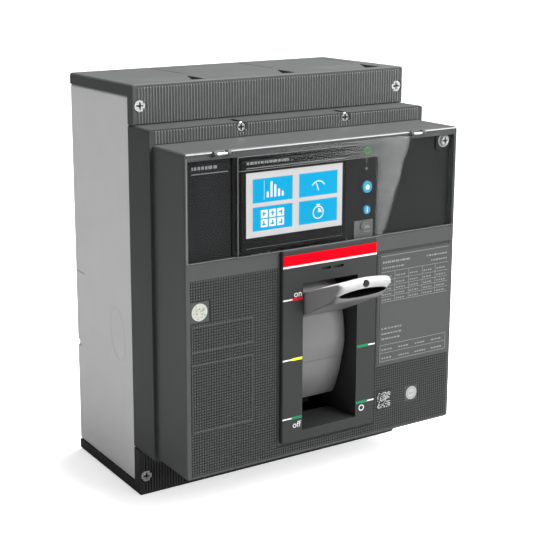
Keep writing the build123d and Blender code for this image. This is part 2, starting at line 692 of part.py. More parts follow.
def mechanism_side_plates():
    """The two steel plates that stand on the base and carry the mechanism."""
    outline = [
        (BACK_WALL, -68), (BACK_WALL, -24), (52, 14), (64, 43), (81, 43), (86, 64), (107, 64),
        (107, 30), (84, 8), (80, -42), (50, -68),
    ]
    plate = profile(outline, SIDE_PLATE_INNER, SIDE_PLATE_INNER + SIDE_PLATE_THICK)
    plate = fillet(plate.edges().filter_by(Axis.X), 1.5)
    plate -= rod_across(CROSSBAR_RADIUS + 4, 0, 40, CROSSBAR)
    plate -= rod_across(PIVOT_PIN_RADIUS, 0, 40, PIVOT)
    plate -= rod_across(TRIP_BAR_RADIUS + 1.5, 0, 40, TRIP_BAR_PIN)
    for place in (CRADLE_PIN, LATCH_PIN):
        plate -= rod_across(CROSS_PIN_RADIUS, 0, 40, place)
    return group(*both_sides(plate))


def cross_pin(place):
    """A pin from one side plate to the other."""
    outer = SIDE_PLATE_INNER + SIDE_PLATE_THICK
    return rod_across(CROSS_PIN_RADIUS, -outer, outer, place)


def cradle():
    """The latched lever that holds the upper links, on the cradle pin."""
    plates = []
    for side in (-1, 1):
        left, right = sorted((side * CRADLE_INNER, side * CRADLE_OUTER))
        plate = strap(CRADLE_PIN, CRADLE_LINK_PIN, 5.5, left, right)
        plate += strap(CRADLE_PIN, CRADLE_TIP, 4.0, left, right)
        plate += rod_across(LINK_PIN_RADIUS, *sorted((side * 8.6, side * 11.0)), CRADLE_LINK_PIN)
        plates.append(plate)
    body = plates[0] + plates[1] + rod_across(4.0, -CRADLE_OUTER, CRADLE_OUTER, (84.0, 35.3))
    return body - rod_across(CROSS_PIN_RADIUS + RUNNING, -20, 20, CRADLE_PIN)


def upper_links():
    """The two upper toggle links, on the cradle."""
    links = []
    for side in (-1, 1):
        left, right = sorted((side * UPPER_LINK_INNER, side * UPPER_LINK_OUTER))
        link = strap(CRADLE_LINK_PIN, KNEE, LINK_HALF_WIDTH, left, right)
        link -= rod_across(LINK_PIN_RADIUS + RUNNING, left - 1, right + 1, CRADLE_LINK_PIN)
        link -= rod_across(LINK_PIN_RADIUS + RUNNING, left - 1, right + 1, KNEE)
        links.append(link)
    return group(*links)


def lower_links():
    """The two lower toggle links, joined by the knee pin, on the crank pin of the centre arm."""
    pair = rod_across(LINK_PIN_RADIUS, -LOWER_LINK_OUTER, LOWER_LINK_OUTER, KNEE)
    for side in (-1, 1):
        left, right = sorted((side * LOWER_LINK_INNER, side * LOWER_LINK_OUTER))
        pair += strap(CRANK_PIN, KNEE, LINK_HALF_WIDTH, left, right)
    return pair - rod_across(LINK_PIN_RADIUS + RUNNING, -20, 20, CRANK_PIN)


def main_springs():
    """The two coil springs from the yoke to the knee, each as a hooked sleeve of wire turns."""
    start = polar(PIVOT, YOKE_INNER - 1, 19.0)
    run = (SPRING_END[0] - start[0], SPRING_END[1] - start[1])
    springs = []
    for side in (-1, 1):
        x = side * SPRING_X
        spring = strap(start, SPRING_END, 1.0, x - 1.0, x + 1.0)
        for turn in range(SPRING_TURNS):
            share = 0.12 + 0.76 * turn / (SPRING_TURNS - 1)
            place = Pos(x, -(start[0] + run[0] * share), start[1] + run[1] * share)
            ring = Torus(SPRING_COIL_RADIUS, SPRING_WIRE_RADIUS)
            spring += place * Rot(90 + SPRING_TILT, 0, 0) * ring
            spring += place * Rot(90 + SPRING_TILT, 0, 0) * Cylinder(SPRING_COIL_RADIUS, SPRING_WIRE_RADIUS)
        springs.append(spring)
    return group(*springs)


def trip_bar():
    """The bar that all three poles can turn to trip the breaker, with its paddles and fingers."""
    half = POLE_PITCH + 24.0
    bar = rod_across(TRIP_BAR_RADIUS, -half, half, TRIP_BAR_PIN)
    depth, height = TRIP_BAR_PIN
    for x in POLES.values():
        bar += block(x - 4, x + 4, depth - 1.5, depth + 1.5, height, height + 9)
    bar += block(-5, 5, depth, depth + 4.7, height - 3.5, height - 0.5)
    x = PLUNGER_X
    return bar + block(x - 4, x + 4, depth, depth + 11, height - 1.5, height + 1.5)


def trip_latch():
    """The hook that holds the cradle's tip until the trip bar lets it go."""
    depth, height = LATCH_PIN
    half = LATCH_HALF_WIDTH
    hook = rod_across(5.5, -half, half, LATCH_PIN)
    hook += block(-half, half, depth + 1.5, depth + 5, height - 10, height)
    hook += block(-half, half, depth - 1, depth + 1, height, height + 9)
    return hook - rod_across(CROSS_PIN_RADIUS + RUNNING, -20, 20, LATCH_PIN)


def trip_actuator():
    """The magnetic actuator beside the mechanism, a coil in a steel case."""
    x = PLUNGER_X
    half = ACTUATOR_SIDE / 2
    low = TRIP_BAR_PIN[1] + ACTUATOR_FROM_TRIP_BAR
    rear = BASE_DEPTH + 6
    case = block(x - half, x + half, rear, MID_DEPTH - WALL, low, low + ACTUATOR_TALL)
    return case - rod_up(PLUNGER_RADIUS + RUNNING, x, PLUNGER_DEPTH, low - 1, low + 12)


def actuator_plunger():
    """The plunger that the actuator drives down onto the trip bar's finger."""
    low = TRIP_BAR_PIN[1] + ACTUATOR_FROM_TRIP_BAR
    rod = rod_up(PLUNGER_RADIUS, PLUNGER_X, PLUNGER_DEPTH, low - 6, low + 10)
    return rod + rod_up(3.2, PLUNGER_X, PLUNGER_DEPTH, low - 7, low - 5.5)


# ---- Poles ----


def crossbar():
    """The insulating shaft that moves the three contact arms together."""
    half = POLE_PITCH + 26.0
    return rod_across(CROSSBAR_RADIUS, -half, half, CROSSBAR)


def crossbar_bearings():
    """The two bearing blocks in the pole partitions."""
    half = BEARING_SIDE / 2
    depth, height = CROSSBAR
    side = PARTITION / 2
    blocks = []
    for x in (-POLE_PITCH / 2, POLE_PITCH / 2):
        body = block(x - side, x + side, depth - half, depth + half, height - half, height + half)
        blocks.append(body - rod_across(CROSSBAR_RADIUS + RUNNING, x - 5, x + 5, CROSSBAR))
    return group(*blocks)


def moving_contact(x):
    """A contact arm on its hub, with the contact pad at its tip."""
    depth, height = CROSSBAR
    half = ARM_HALF_WIDTH
    tip = height + ARM_LENGTH
    arm = block(x - half, x + half, depth - ARM_HALF_THICK, depth + ARM_HALF_THICK, height, tip)
    arm += rod_across(HUB_RADIUS, x - half, x + half, CROSSBAR)
    pad_low = tip - CONTACT_HEIGHT
    arm += block(x - half, x + half, ARM_REAR - CONTACT_PAD, ARM_REAR, pad_low, tip)
    arm -= rod_across(CROSSBAR_RADIUS, x - half, x + half, CROSSBAR)
    if x == 0:
        arm -= rod_across(LINK_PIN_RADIUS, x - half, x + half, CRANK_PIN)
    return arm


def crank_pin():
    """The pin in the centre arm that the lower links push on."""
    return rod_across(LINK_PIN_RADIUS, -LOWER_LINK_OUTER, LOWER_LINK_OUTER, CRANK_PIN)


def upper_terminal(x):
    """A line terminal: a copper bar with the fixed contact on its lower end."""
    tip = CROSSBAR_HEIGHT + ARM_LENGTH
    half = BAR_WIDTH / 2
    pad_front = ARM_REAR - CONTACT_PAD
    bar = block(x - half, x + half, BAR_REAR, BAR_FRONT, tip - CONTACT_HEIGHT - 4, TERMINAL_END)
    pad_half = ARM_HALF_WIDTH + 1
    bar += block(x - pad_half, x + pad_half, BAR_FRONT, pad_front, tip - CONTACT_HEIGHT, tip)
    hole = TERMINAL_END - TERMINAL_HOLE_FROM_END
    return bar - rod_forward(TERMINAL_HOLE_RADIUS, x, hole, BAR_REAR - 1, BAR_FRONT + 1)


def lower_terminal(x):
    """A load terminal: a copper bar that the braid is brazed to."""
    half = BAR_WIDTH / 2
    bar = block(x - half, x + half, BAR_REAR, BAR_FRONT, -TERMINAL_END, BRAID_TOP - 8)
    hole = TERMINAL_HOLE_FROM_END - TERMINAL_END
    return bar - rod_forward(TERMINAL_HOLE_RADIUS, x, hole, BAR_REAR - 1, BAR_FRONT + 1)


def flexible_braid(x):
    """The stack of thin copper strips from the arm's hub to the load terminal."""
    rear = BAR_FRONT
    low = BRAID_TOP - 5 - BRAID_THICK
    outline = [
        (rear, low), (CROSSBAR_DEPTH + 2, low), (CROSSBAR_DEPTH + 6, low + 3),
        (CROSSBAR_DEPTH + 6, BRAID_TOP), (CROSSBAR_DEPTH - 6, BRAID_TOP),
        (CROSSBAR_DEPTH - 6, low + BRAID_THICK), (rear, low + BRAID_THICK),
    ]
    return profile(outline, x - ARM_HALF_WIDTH, x + ARM_HALF_WIDTH)


def arc_chute(x):
    """A stack of notched steel plates between two insulating cheeks, above the contacts."""
    low = CROSSBAR_HEIGHT + ARM_LENGTH + 12
    rear = BAR_FRONT + 4
    front = BASE_DEPTH - 6.6
    cheek = CHUTE_HALF_WIDTH
    inner = cheek - CHEEK_THICK
    pieces = []
    for side in (-1, 1):
        left, right = sorted((x + side * inner, x + side * cheek))
        pieces.append(block(left, right, rear, front, low, CROSS_WALL_HEIGHT - 2))
    height = low + 1
    while height < CROSS_WALL_HEIGHT - 5:
        plate = block(x - inner, x + inner, rear, front - 1, height, height + 1.5)
        plate -= block(x - 4, x + 4, rear - 1, rear + 22, height - 1, height + 3)
        pieces.append(plate)
        height += PLATE_PITCH
    return group(*pieces)


def current_sensor(x):
    """A square ring round the load bar that measures its current."""
    top = -CROSS_WALL_HEIGHT + 16.5
    low = -CROSS_WALL_HEIGHT + 1.0
    ring = block(x - SENSOR_HALF_WIDTH, x + SENSOR_HALF_WIDTH, BACK_WALL + 0.2, BAR_FRONT + 18, low, top)
    side = BAR_WIDTH / 2 + GAP
    ring -= block(x - side, x + side, BAR_REAR - GAP, BAR_FRONT + GAP, low - 1, top + 1)
    return ring


def accessory(x):
    """A plug-in accessory on the mid cover, beside the handle, with its terminal clamps."""
    half = ACCESSORY_HALF_WIDTH
    front = MID_DEPTH + ACCESSORY_DEEP
    low, high = ACCESSORY_HEIGHTS
    body = block(x - half, x + half, MID_DEPTH, front, low, high)
    body = fillet(body.edges().filter_by(Axis.Y), 1.5)
    for index in range(4):
        height = low + 10 + index * 18.0
        body -= rod_forward(CLAMP_RADIUS, x - 8, height, front - 5, front + 1)
        body -= rod_forward(CLAMP_RADIUS, x + 8, height, front - 5, front + 1)
    return body


def cover_screw(x, height, face, radius):
    """A screw through a cover and into the base, with its head sunk below the cover's face."""
    seat = face - SCREW_SEAT
    return screw(x, height, seat, seat - BASE_DEPTH + SCREW_LENGTH - 2, radius)


def build_nodes():
    """Every node of the breaker, by name."""
    strip_low = ESCUTCHEON_TOP - RED_STRIP_FROM_TOP[0]
    strip_high = ESCUTCHEON_TOP - RED_STRIP_FROM_TOP[1]
    strip = RED_STRIP_HALF_WIDTH
    window = WINDOW_HALF_WIDTH - GAP
    cover_screws = [
        cover_screw(x, z, COVER_LIP_DEPTH, SCREW_HEAD_RADIUS) for x, z in cover_screw_places()
    ]
    mid_screws = [cover_screw(x, z, MID_DEPTH, SMALL_HEAD_RADIUS) for x, z in mid_screw_places()]
    x, z = panel_screw_place()
    nodes = {
        "base_case": base_case(),
        "upper_terminal_cover": terminal_cover(1, UPPER_LIP),
        "lower_terminal_cover": terminal_cover(-1, LOWER_LIP),
        "mid_cover": mid_cover(),
        "front_cover": front_cover(),
        "handle_escutcheon": handle_escutcheon(),
        "red_label_strip": label(-strip, strip, strip_low, strip_high, ESCUTCHEON_DEPTH),
        "rating_label": label(*RATING_LABEL, FASCIA_DEPTH),
        "matrix_label": label(*MATRIX_LABEL, FASCIA_DEPTH),
        "round_sticker": round_label(*ROUND_STICKER),
        "test_sticker": round_label(*TEST_STICKER),
        "clear_cover": clear_cover(),
        "cover_hinge_pins": cover_hinge_pins(),
        "left_blank_panel": blank_panel(-window, UNIT_LEFT - GAP, False),
        "right_blank_panel": blank_panel(UNIT_RIGHT + GAP, window, True),
        "panel_screw": screw(x, z, PANEL_FRONT + PANEL_BOSS, PANEL_SCREW_LENGTH, SMALL_HEAD_RADIUS),
        "terminal_cover_screws": group(*cover_screws),
        "mid_cover_screws": group(*mid_screws),
        "trip_unit_housing": trip_unit_housing(),
        "display_bezel": display_bezel(),
        "display_screen": display_screen(),
        "circuit_board": circuit_board(),
        "home_button": push_button(*button_places()[0]),
        "info_button": push_button(*button_places()[1]),
        "port_cover": port_cover(),
        "power_led": power_led(),
        "handle": handle(),
        "handle_yoke": handle_yoke(),
        "handle_shield": handle_shield(),
        "handle_pivot_pins": handle_pivot_pins(),
        "mechanism_side_plates": mechanism_side_plates(),
        "cradle_pin": cross_pin(CRADLE_PIN),
        "latch_pin": cross_pin(LATCH_PIN),
        "cradle": cradle(),
        "upper_links": upper_links(),
        "lower_links": lower_links(),
        "crank_pin": crank_pin(),
        "main_springs": main_springs(),
        "trip_bar": trip_bar(),
        "trip_latch": trip_latch(),
        "trip_actuator": trip_actuator(),
        "actuator_plunger": actuator_plunger(),
        "crossbar": crossbar(),
        "crossbar_bearings": crossbar_bearings(),
        "auxiliary_contact_block": accessory(-ACCESSORY_X),
        "shunt_release": accessory(ACCESSORY_X),
        "flexible_braids": group(*[flexible_braid(pole) for pole in POLES.values()]),
        "current_sensors": group(*[current_sensor(pole) for pole in POLES.values()]),
    }
    for name, pole in POLES.items():
        nodes["moving_contact_" + name] = moving_contact(pole)
        nodes["upper_terminal_" + name] = upper_terminal(pole)
        nodes["lower_terminal_" + name] = lower_terminal(pole)
        nodes["arc_chute_" + name] = arc_chute(pole)
    return nodes


os.makedirs("parts", exist_ok=True)
for node_name, shape in build_nodes().items():
    export_step(shape, f"parts/{node_name}.step")
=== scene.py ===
# %% [markdown]
# # Dressing a moulded-case breaker
# The breaker is a grey box of moulded plastic with a copper heart. Its real shape, every body that moves and every
# joint come from the imported CAD frame. This lesson adds what the CAD leaves out: ribs, dimples, printed marks,
# a softer handle, and a finish for every piece. We load the frame first, because all the places that follow are
# read from it, and we keep its box so that the end can show how far the dressed model reaches beyond it.

# %% Load the imported frame
import math
import random

import bmesh
import bpy
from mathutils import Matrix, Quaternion, Vector


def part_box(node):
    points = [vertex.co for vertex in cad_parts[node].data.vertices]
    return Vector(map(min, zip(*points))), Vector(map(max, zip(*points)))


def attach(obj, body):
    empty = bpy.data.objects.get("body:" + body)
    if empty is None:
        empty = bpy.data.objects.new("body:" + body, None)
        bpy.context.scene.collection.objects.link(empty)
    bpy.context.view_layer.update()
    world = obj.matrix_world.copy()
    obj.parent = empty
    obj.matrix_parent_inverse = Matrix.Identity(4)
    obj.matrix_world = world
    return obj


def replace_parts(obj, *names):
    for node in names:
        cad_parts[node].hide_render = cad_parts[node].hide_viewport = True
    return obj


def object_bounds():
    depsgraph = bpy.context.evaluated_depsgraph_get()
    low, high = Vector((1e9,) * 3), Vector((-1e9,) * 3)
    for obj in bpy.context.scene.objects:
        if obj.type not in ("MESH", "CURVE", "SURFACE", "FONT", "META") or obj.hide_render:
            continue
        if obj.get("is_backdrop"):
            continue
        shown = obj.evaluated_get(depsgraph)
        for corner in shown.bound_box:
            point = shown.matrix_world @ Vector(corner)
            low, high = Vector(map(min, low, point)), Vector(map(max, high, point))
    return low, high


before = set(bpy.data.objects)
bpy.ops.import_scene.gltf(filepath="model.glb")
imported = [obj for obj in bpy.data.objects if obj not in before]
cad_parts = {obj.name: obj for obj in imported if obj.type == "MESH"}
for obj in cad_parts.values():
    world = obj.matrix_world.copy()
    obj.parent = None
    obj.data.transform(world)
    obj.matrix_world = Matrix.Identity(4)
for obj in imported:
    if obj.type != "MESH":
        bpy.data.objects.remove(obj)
cad_low, cad_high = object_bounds()
MM = 0.001
print("nodes:", len(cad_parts), "size in mm:", [round(v / MM, 1) for v in cad_high - cad_low])

# %% [markdown]
# A drawing of this breaker gives three numbers for a point: how far right of the middle it is, how far in front of
# the mounting face, and how high. Blender's Y axis points into the panel instead. One small function turns the
# drawing's numbers into Blender's, so no later cell has to think about signs or metres again.

# %% Places in the drawing's own terms
FRONT = Vector((0.0, -1.0, 0.0))


def place(x, depth, height):
    """Millimetres right of the middle, in front of the mounting face, and up."""
    return Vector((x * MM, -depth * MM, height * MM))


def node_face(node):
    """The depth of a node's front face and its lowest and highest corner, in millimetres."""
    low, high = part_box(node)
    return -low[1] / MM, (low[0] / MM, low[2] / MM), (high[0] / MM, high[2] / MM)


def stand(name, data):
    """A new object that shows some data, put into the scene."""
    thing = bpy.data.objects.new(name, data)
    bpy.context.scene.collection.objects.link(thing)
    return thing


# No node's box gives the plain fronts of the fascia, the side panels and the boss of the panel screw.
FASCIA_FACE, PANEL_FACE, PANEL_BOSS_FACE = 150.8, 146.5, 148.0
MID_FACE = node_face("mid_cover")[0]
LIP_FACE = node_face("upper_terminal_cover")[0]
SCREEN_FACE = node_face("display_screen")[0]
PLATE_FACE = node_face("handle_escutcheon")[0]
BEZEL_FACE = node_face("display_bezel")[0]
print("front faces in mm:", FASCIA_FACE, MID_FACE, LIP_FACE, SCREEN_FACE, PLATE_FACE)

# %% [markdown]
# The camera comes before the looks, because it decides which details matter most. A product view of a breaker is
# taken from the left and a little above, with a long lens so that the box keeps its proportions. The small lens
# shift does what a view camera's rising front does: it keeps the upright edges nearly parallel.

# %% Camera
CAMERA_PLACE = place(-441.5, 754.5, 215.2)
CAMERA_AZIMUTH = math.radians(-30.55)
CAMERA_ELEVATION = math.radians(11.75)
CAMERA_ROLL = math.radians(-0.39)
LENS = 81.73
SHIFT = (0.11, -0.125)

camera_data = bpy.data.cameras.new("view_camera")
camera_data.lens = LENS
camera_data.sensor_width = 36.0
camera_data.shift_x, camera_data.shift_y = SHIFT
camera = stand("view_camera", camera_data)
backwards = Vector((
    math.sin(CAMERA_AZIMUTH) * math.cos(CAMERA_ELEVATION),
    -math.cos(CAMERA_AZIMUTH) * math.cos(CAMERA_ELEVATION),
    math.sin(CAMERA_ELEVATION),
))
camera.rotation_mode = "QUATERNION"
camera.location = CAMERA_PLACE
roll = Quaternion((0.0, 0.0, 1.0), CAMERA_ROLL)
camera.rotation_quaternion = (-backwards).to_track_quat("-Z", "Y") @ roll
bpy.context.scene.camera = camera
bpy.context.scene.view_settings.view_transform = "Standard"
print("camera at", [round(v, 3) for v in camera.location])

# %% [markdown]
# Grey plastic only reads as grey when the room is plain. We stand the breaker on a pale floor that sweeps up into a
# wall, like a paper roll in a studio, so there is no horizon. The sweep is one strip of paper, bent along a quarter
# circle, and it is marked as stage because it is not part of the breaker.

# %% Paper sweep and room light
SWEEP_HALF_WIDTH = 4.0
SWEEP_FRONT, SWEEP_BACK, SWEEP_BEND, SWEEP_TOP = -4.0, 2.2, 1.2, 4.0
SWEEP_STEPS = 16


def paper_sweep(floor_height):
    """A strip of paper that runs back along the floor and curls up into a wall."""
    line = [(SWEEP_FRONT, floor_height), (SWEEP_BACK - SWEEP_BEND, floor_height)]
    for step in range(1, SWEEP_STEPS + 1):
        turn = math.pi / 2 * step / SWEEP_STEPS
        line.append((
            SWEEP_BACK - SWEEP_BEND + SWEEP_BEND * math.sin(turn),
            floor_height + SWEEP_BEND * (1 - math.cos(turn)),
        ))
    line.append((SWEEP_BACK, SWEEP_TOP))
    mesh = bmesh.new()
    ends = (-SWEEP_HALF_WIDTH, SWEEP_HALF_WIDTH)
    rows = [[mesh.verts.new((x, y, z)) for x in ends] for y, z in line]
    for near, far in zip(rows, rows[1:]):
        mesh.faces.new((near[0], near[1], far[1], far[0]))
    data = bpy.data.meshes.new("paper_sweep")
    mesh.to_mesh(data)
    mesh.free()
    for face in data.polygons:
        face.use_smooth = True
    sweep = stand("paper_sweep", data)
    sweep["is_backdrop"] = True
    return sweep


ROOM_STRENGTH = 0.36
sweep = paper_sweep(cad_low.z)
room = bpy.data.worlds.new("room")
room.use_nodes = True
air = room.node_tree.nodes["Background"]
air.inputs["Color"].default_value = (1.0, 1.0, 1.0, 1.0)
air.inputs["Strength"].default_value = ROOM_STRENGTH
bpy.context.scene.world = room
print("paper sweep has", len(sweep.data.polygons), "strips")

# %% [markdown]
# Two soft boxes do the modelling. The one in front on the right gives the fascia its lighter grey, and the left
# sides then fall darker by themselves. The other hangs overhead, lights the tops and draws a light line along the
# upper edges. Each is aimed at the breaker's middle with the same small helper.

# %% Soft boxes
AIM = (0.0, -0.1, 0.0)


def soft_box(name, where, target, size, power):
    """A square studio light of the given size in metres, aimed from one point at another."""
    data = bpy.data.lights.new(name, "AREA")
    data.shape = "SQUARE"
    data.size = size
    data.energy = power
    lamp = stand(name, data)
    lamp.location = where
    lamp.rotation_mode = "QUATERNION"
    lamp.rotation_quaternion = (Vector(target) - Vector(where)).to_track_quat("-Z", "Y")
    return lamp


key_light = soft_box("key_light", (0.75, -1.75, 1.0), AIM, 1.1, 50.0)
top_light = soft_box("top_light", (0.45, -0.15, 1.6), AIM, 0.9, 66.0)
print("soft boxes:", key_light.name, top_light.name)

# %% [markdown]
# Two small lit cards are there only to be mirrored by the clear window cover, the way a photographer shows that a
# pane is glossy. A card could be a mesh that glows, but a lamp with a mask in its own shader needs no mesh at all.
# Wiring shaders by hand repeats the same three lines, so two helpers join and set the sockets from now on.

# %% Lit cards
CARD_DEPTH = 550.0


def feed(tree, node, feeds=(), values=()):
    """Joins inputs of a shader node to other nodes' outputs, and sets the values of others."""
    for socket, source in dict(feeds).items():
        tree.links.new(source, node.inputs[socket])
    for socket, value in dict(values).items():
        node.inputs[socket].default_value = value
    return node


def shader(tree, kind, feeds=(), values=(), operation=None):
    """A new shader node, fed and set."""
    node = tree.nodes.new("ShaderNode" + kind)
    if operation:
        node.operation = operation
    return feed(tree, node, feeds, values)


def lit_card(name, left, right, low, high, power, edge, slope, fade):
    """A lamp behind a mask: it is bright up to a slanted edge, and fades along its width."""
    middle = place((left + right) / 2, CARD_DEPTH, (low + high) / 2)
    card = soft_box(name, middle, middle - FRONT, 0.05, power)
    card.data.shape = "RECTANGLE"
    card.data.size, card.data.size_y = (right - left) * MM, (high - low) * MM
    card.data.use_nodes = True
    tree = card.data.node_tree
    spot = shader(tree, "NewGeometry")
    parts = shader(tree, "SeparateXYZ", {"Vector": spot.outputs["Parametric"]})
    across, upward = parts.outputs["X"], parts.outputs["Y"]
    limit = shader(tree, "Math", {0: upward}, {1: slope, 2: edge}, "MULTIPLY_ADD")
    inside = shader(tree, "Math", {0: across, 1: limit.outputs[0]}, (), "LESS_THAN")
    falling = shader(tree, "Math", {0: across}, {1: fade}, "POWER")
    both = shader(tree, "Math", {0: inside.outputs[0], 1: falling.outputs[0]}, (), "MULTIPLY")
    feed(tree, tree.nodes["Emission"], {"Strength": both.outputs[0]})
    return card


side_card = lit_card("side_card", 352.4, 403.6, -86.5, 18.4, power=0.46, edge=0.185, slope=0.685, fade=0.25)
brow_card = lit_card("brow_card", 191.0, 352.0, 1.2, 18.0, power=0.14, edge=1.1, slope=0.0, fade=1.4)
print("cards:", side_card.name, brow_card.name)

# %% [markdown]
# Moulded plastic is never one flat colour. Under a lens it has a fine spark grain from the mould, slow patches where
# the glass filling comes nearer to the surface, and edges that are slightly round. The three are noise for the
# grain, slower noise for the patches, and Blender's bevel shading for the edges. One function makes any plastic of
# this kind, and the colour, the grain and the gloss are its arguments.

# %% Moulded plastic
def chart(red, green, blue):
    """A paint-chart colour, 0 to 255, as the linear numbers that the renderer mixes."""
    def linear(value):
        value = value / 255
        return value / 12.92 if value <= 0.04045 else ((value + 0.055) / 1.055) ** 2.4
    return (linear(red), linear(green), linear(blue))


def shade(colour, factor):
    """The same colour, lighter or darker, with the alpha that a socket wants."""
    return tuple(min(1.0, part * factor) for part in colour) + (1.0,)


PATCH_SCALE, PATCH_STOPS, PATCH_GLOSS = 38.0, (0.32, 0.68), 0.06
COAT_ROUGHNESS = 0.08


def new_finish(name):
    """A new material with its node tree and its main shader."""
    finish = bpy.data.materials.new(name)
    finish.use_nodes = True
    return finish, finish.node_tree, finish.node_tree.nodes["Principled BSDF"]


def spread(tree, source, middle, reach):
    """A noise turned into a value that strays round its middle."""
    limits = {"To Min": middle - reach, "To Max": middle + reach}
    return shader(tree, "MapRange", {"Value": source}, limits).outputs["Result"]


def plastic(
    name, colour, roughness, grain=0.0004, relief=0.12, patches=0.05, edge=0.0004, coat=0.0, glow=0.0, shine=0.5
):
    """A moulded or printed plastic. grain is in metres, relief is the bump strength."""
    finish, tree, skin = new_finish(name)
    where = shader(tree, "TexCoord").outputs["Object"]
    slow = shader(tree, "TexNoise", {"Vector": where}, {"Scale": PATCH_SCALE, "Detail": 4.0}).outputs["Fac"]
    ramp = shader(tree, "ValToRGB", {"Fac": slow})
    for stop, position, factor in zip(ramp.color_ramp.elements, PATCH_STOPS, (1 - patches, 1 + patches)):
        stop.position = position
        stop.color = shade(colour, factor)
    fine = shader(tree, "TexNoise", {"Vector": where}, {"Scale": 1 / grain, "Detail": 2.0})
    rounded = shader(tree, "Bevel", (), {"Radius": edge})
    rounded.samples = 4
    hollows = {"Height": fine.outputs["Fac"], "Normal": rounded.outputs["Normal"]}
    bump = shader(tree, "Bump", hollows, {"Strength": relief, "Distance": grain / 4})
    gloss = spread(tree, slow, roughness, PATCH_GLOSS)
    feed(
        tree, skin,
        {"Base Color": ramp.outputs["Color"], "Roughness": gloss, "Normal": bump.outputs["Normal"]},
        {"Specular IOR Level": shine, "Coat Weight": coat, "Coat Roughness": COAT_ROUGHNESS},
    )
    if glow:
        feed(tree, skin, (), {"Emission Color": shade(colour, 1.0), "Emission Strength": glow})
    return finish


base_grey = plastic("base_moulding", (0.70, 0.70, 0.70), 0.62, grain=0.0006, relief=0.08, patches=0.02, shine=0.3)
cover_grey = plastic("cover_moulding", (0.035, 0.038, 0.037), 0.55, relief=0.10, shine=0.35)
upper_grey = plastic("upper_moulding", (0.062, 0.066, 0.065), 0.58, relief=0.10, shine=0.2)
# A lighter copy of the cover plastic for the ribs of the upper cover and the step: painted highlight.
rib_highlight_grey = plastic("rib_highlight_moulding", (0.22, 0.23, 0.227), 0.55, relief=0.10, shine=0.35)
# Darker copies of the cover plastic for the lower cover and its ribs: painted shade under the fascia.
lower_rib_shade = plastic("lower_ribs_painted_shade", (0.006, 0.0063, 0.006), 0.6, relief=0.10, shine=0.15)
lower_cover_shade = plastic("lower_painted_shade_moulding", (0.028, 0.029, 0.0285), 0.6, relief=0.10, shine=0.2)
fascia_grey = plastic("fascia_moulding", (0.047, 0.050, 0.049), 0.5, relief=0.08, shine=0.35)
plate_grey = plastic("plate_moulding", (0.024, 0.0255, 0.025), 0.52, relief=0.06, shine=0.25)
panel_black = plastic("panel_black", (0.008, 0.008, 0.0085), 0.42, grain=0.0003, relief=0.01, shine=0.12)
bezel_black = plastic("bezel_black", (0.003, 0.003, 0.0032), 0.4, relief=0.01, shine=0.1)
handle_grey = plastic("handle_moulding", (0.27, 0.27, 0.27), 0.36, grain=0.0009, relief=0.03, patches=0.02, shine=0.6)
# A darker copy of the handle's plastic for the guard, its step and core, the lever's underside and the shield: painted
# shade.
guard_shade_grey = plastic("guard_shade_moulding", (0.125, 0.125, 0.125), 0.36, grain=0.0009, relief=0.03, patches=0.02, shine=0.6)
# A much lighter copy of the handle's plastic for the bar's front and top: painted highlight.
bar_highlight_grey = plastic("handle_bar_highlight", (0.39, 0.39, 0.39), 0.42, grain=0.0009, relief=0.03, patches=0.01)
nylon_black = plastic("nylon_black", (0.02, 0.02, 0.02), 0.5)
soft_grey = plastic("soft_grey", (0.085, 0.088, 0.087), 0.6)
thermoset = plastic("thermoset", (0.16, 0.08, 0.04), 0.6, patches=0.15)
laminate = plastic("board_laminate", (0.01, 0.10, 0.04), 0.35, coat=0.4, patches=0.1)
print("plastics:", len([m for m in bpy.data.materials if m.use_nodes]))

# %% [markdown]
# Printed marks, films and foils are flatter and cleaner than a moulding, with hardly any grain. The same recipe
# serves them with a finer relief. The light ring and the screen also give off a little light of their own.

# %% Prints, films, keys and screen colours
INK = {"grain": 0.0003, "relief": 0.02, "patches": 0.03, "edge": 0.0001, "shine": 0.2}


def ink(name, colour, roughness, **changes):
    """A plastic with the settings of a print, unless a setting is changed."""
    return plastic(name, colour, roughness, **{**INK, **changes})


ink_white = ink("ink_white", (0.70, 0.70, 0.70), 0.45)
ink_light = ink("ink_light", (0.20, 0.205, 0.205), 0.5)
ink_red = ink("ink_red", (0.62, 0.0, 0.012), 0.4)
ink_yellow = ink("ink_yellow", (0.75, 0.72, 0.04), 0.5)
ink_green = ink("ink_green", (0.008, 0.19, 0.08), 0.5)
# Near-black: the dark centre of the light ring, and painted shade in the pole grooves, the screw recesses, the
# handle's mouth and the guard above the lever.
dark_ink_and_shade = ink("dark_ink_and_shade", (0.006, 0.006, 0.006), 0.6)
film_grey = ink("film_grey", (0.060, 0.064, 0.063), 0.55)
film_white = ink("film_white", (0.33, 0.34, 0.33), 0.5)
foil_red = ink("foil_red", (0.78, 0.0, 0.008), 0.6, shine=0.03)
key_blue = ink("key_blue", (0.035, 0.28, 0.45), 0.35)
ring_green = ink("ring_green", (0.02, 0.34, 0.06), 0.35, glow=0.35)
screen_white = ink("screen_white", (0.40, 0.385, 0.385), 0.4, glow=0.35)
screen_blue = ink("screen_blue", (0.0, 0.27, 0.50), 0.5, glow=0.2, shine=0.03)
screen_mark = ink("screen_mark", (0.60, 0.60, 0.60), 0.4, glow=0.3)
# Light greys for the thin strips on the window cover's edges: painted highlights.
edge_highlight_grey = ink("edge_highlight_grey", (0.20, 0.205, 0.205), 0.35)
edge_highlight_white = ink("edge_highlight_white", (0.50, 0.51, 0.51), 0.35)
# Near-black: the matrix label's own colour, and painted shade on the ground between the fascia's dots.
dot_shade_and_label_dark = plastic("dot_shade_and_label_dark", (0.014, 0.015, 0.015), 0.6, shine=0.2)
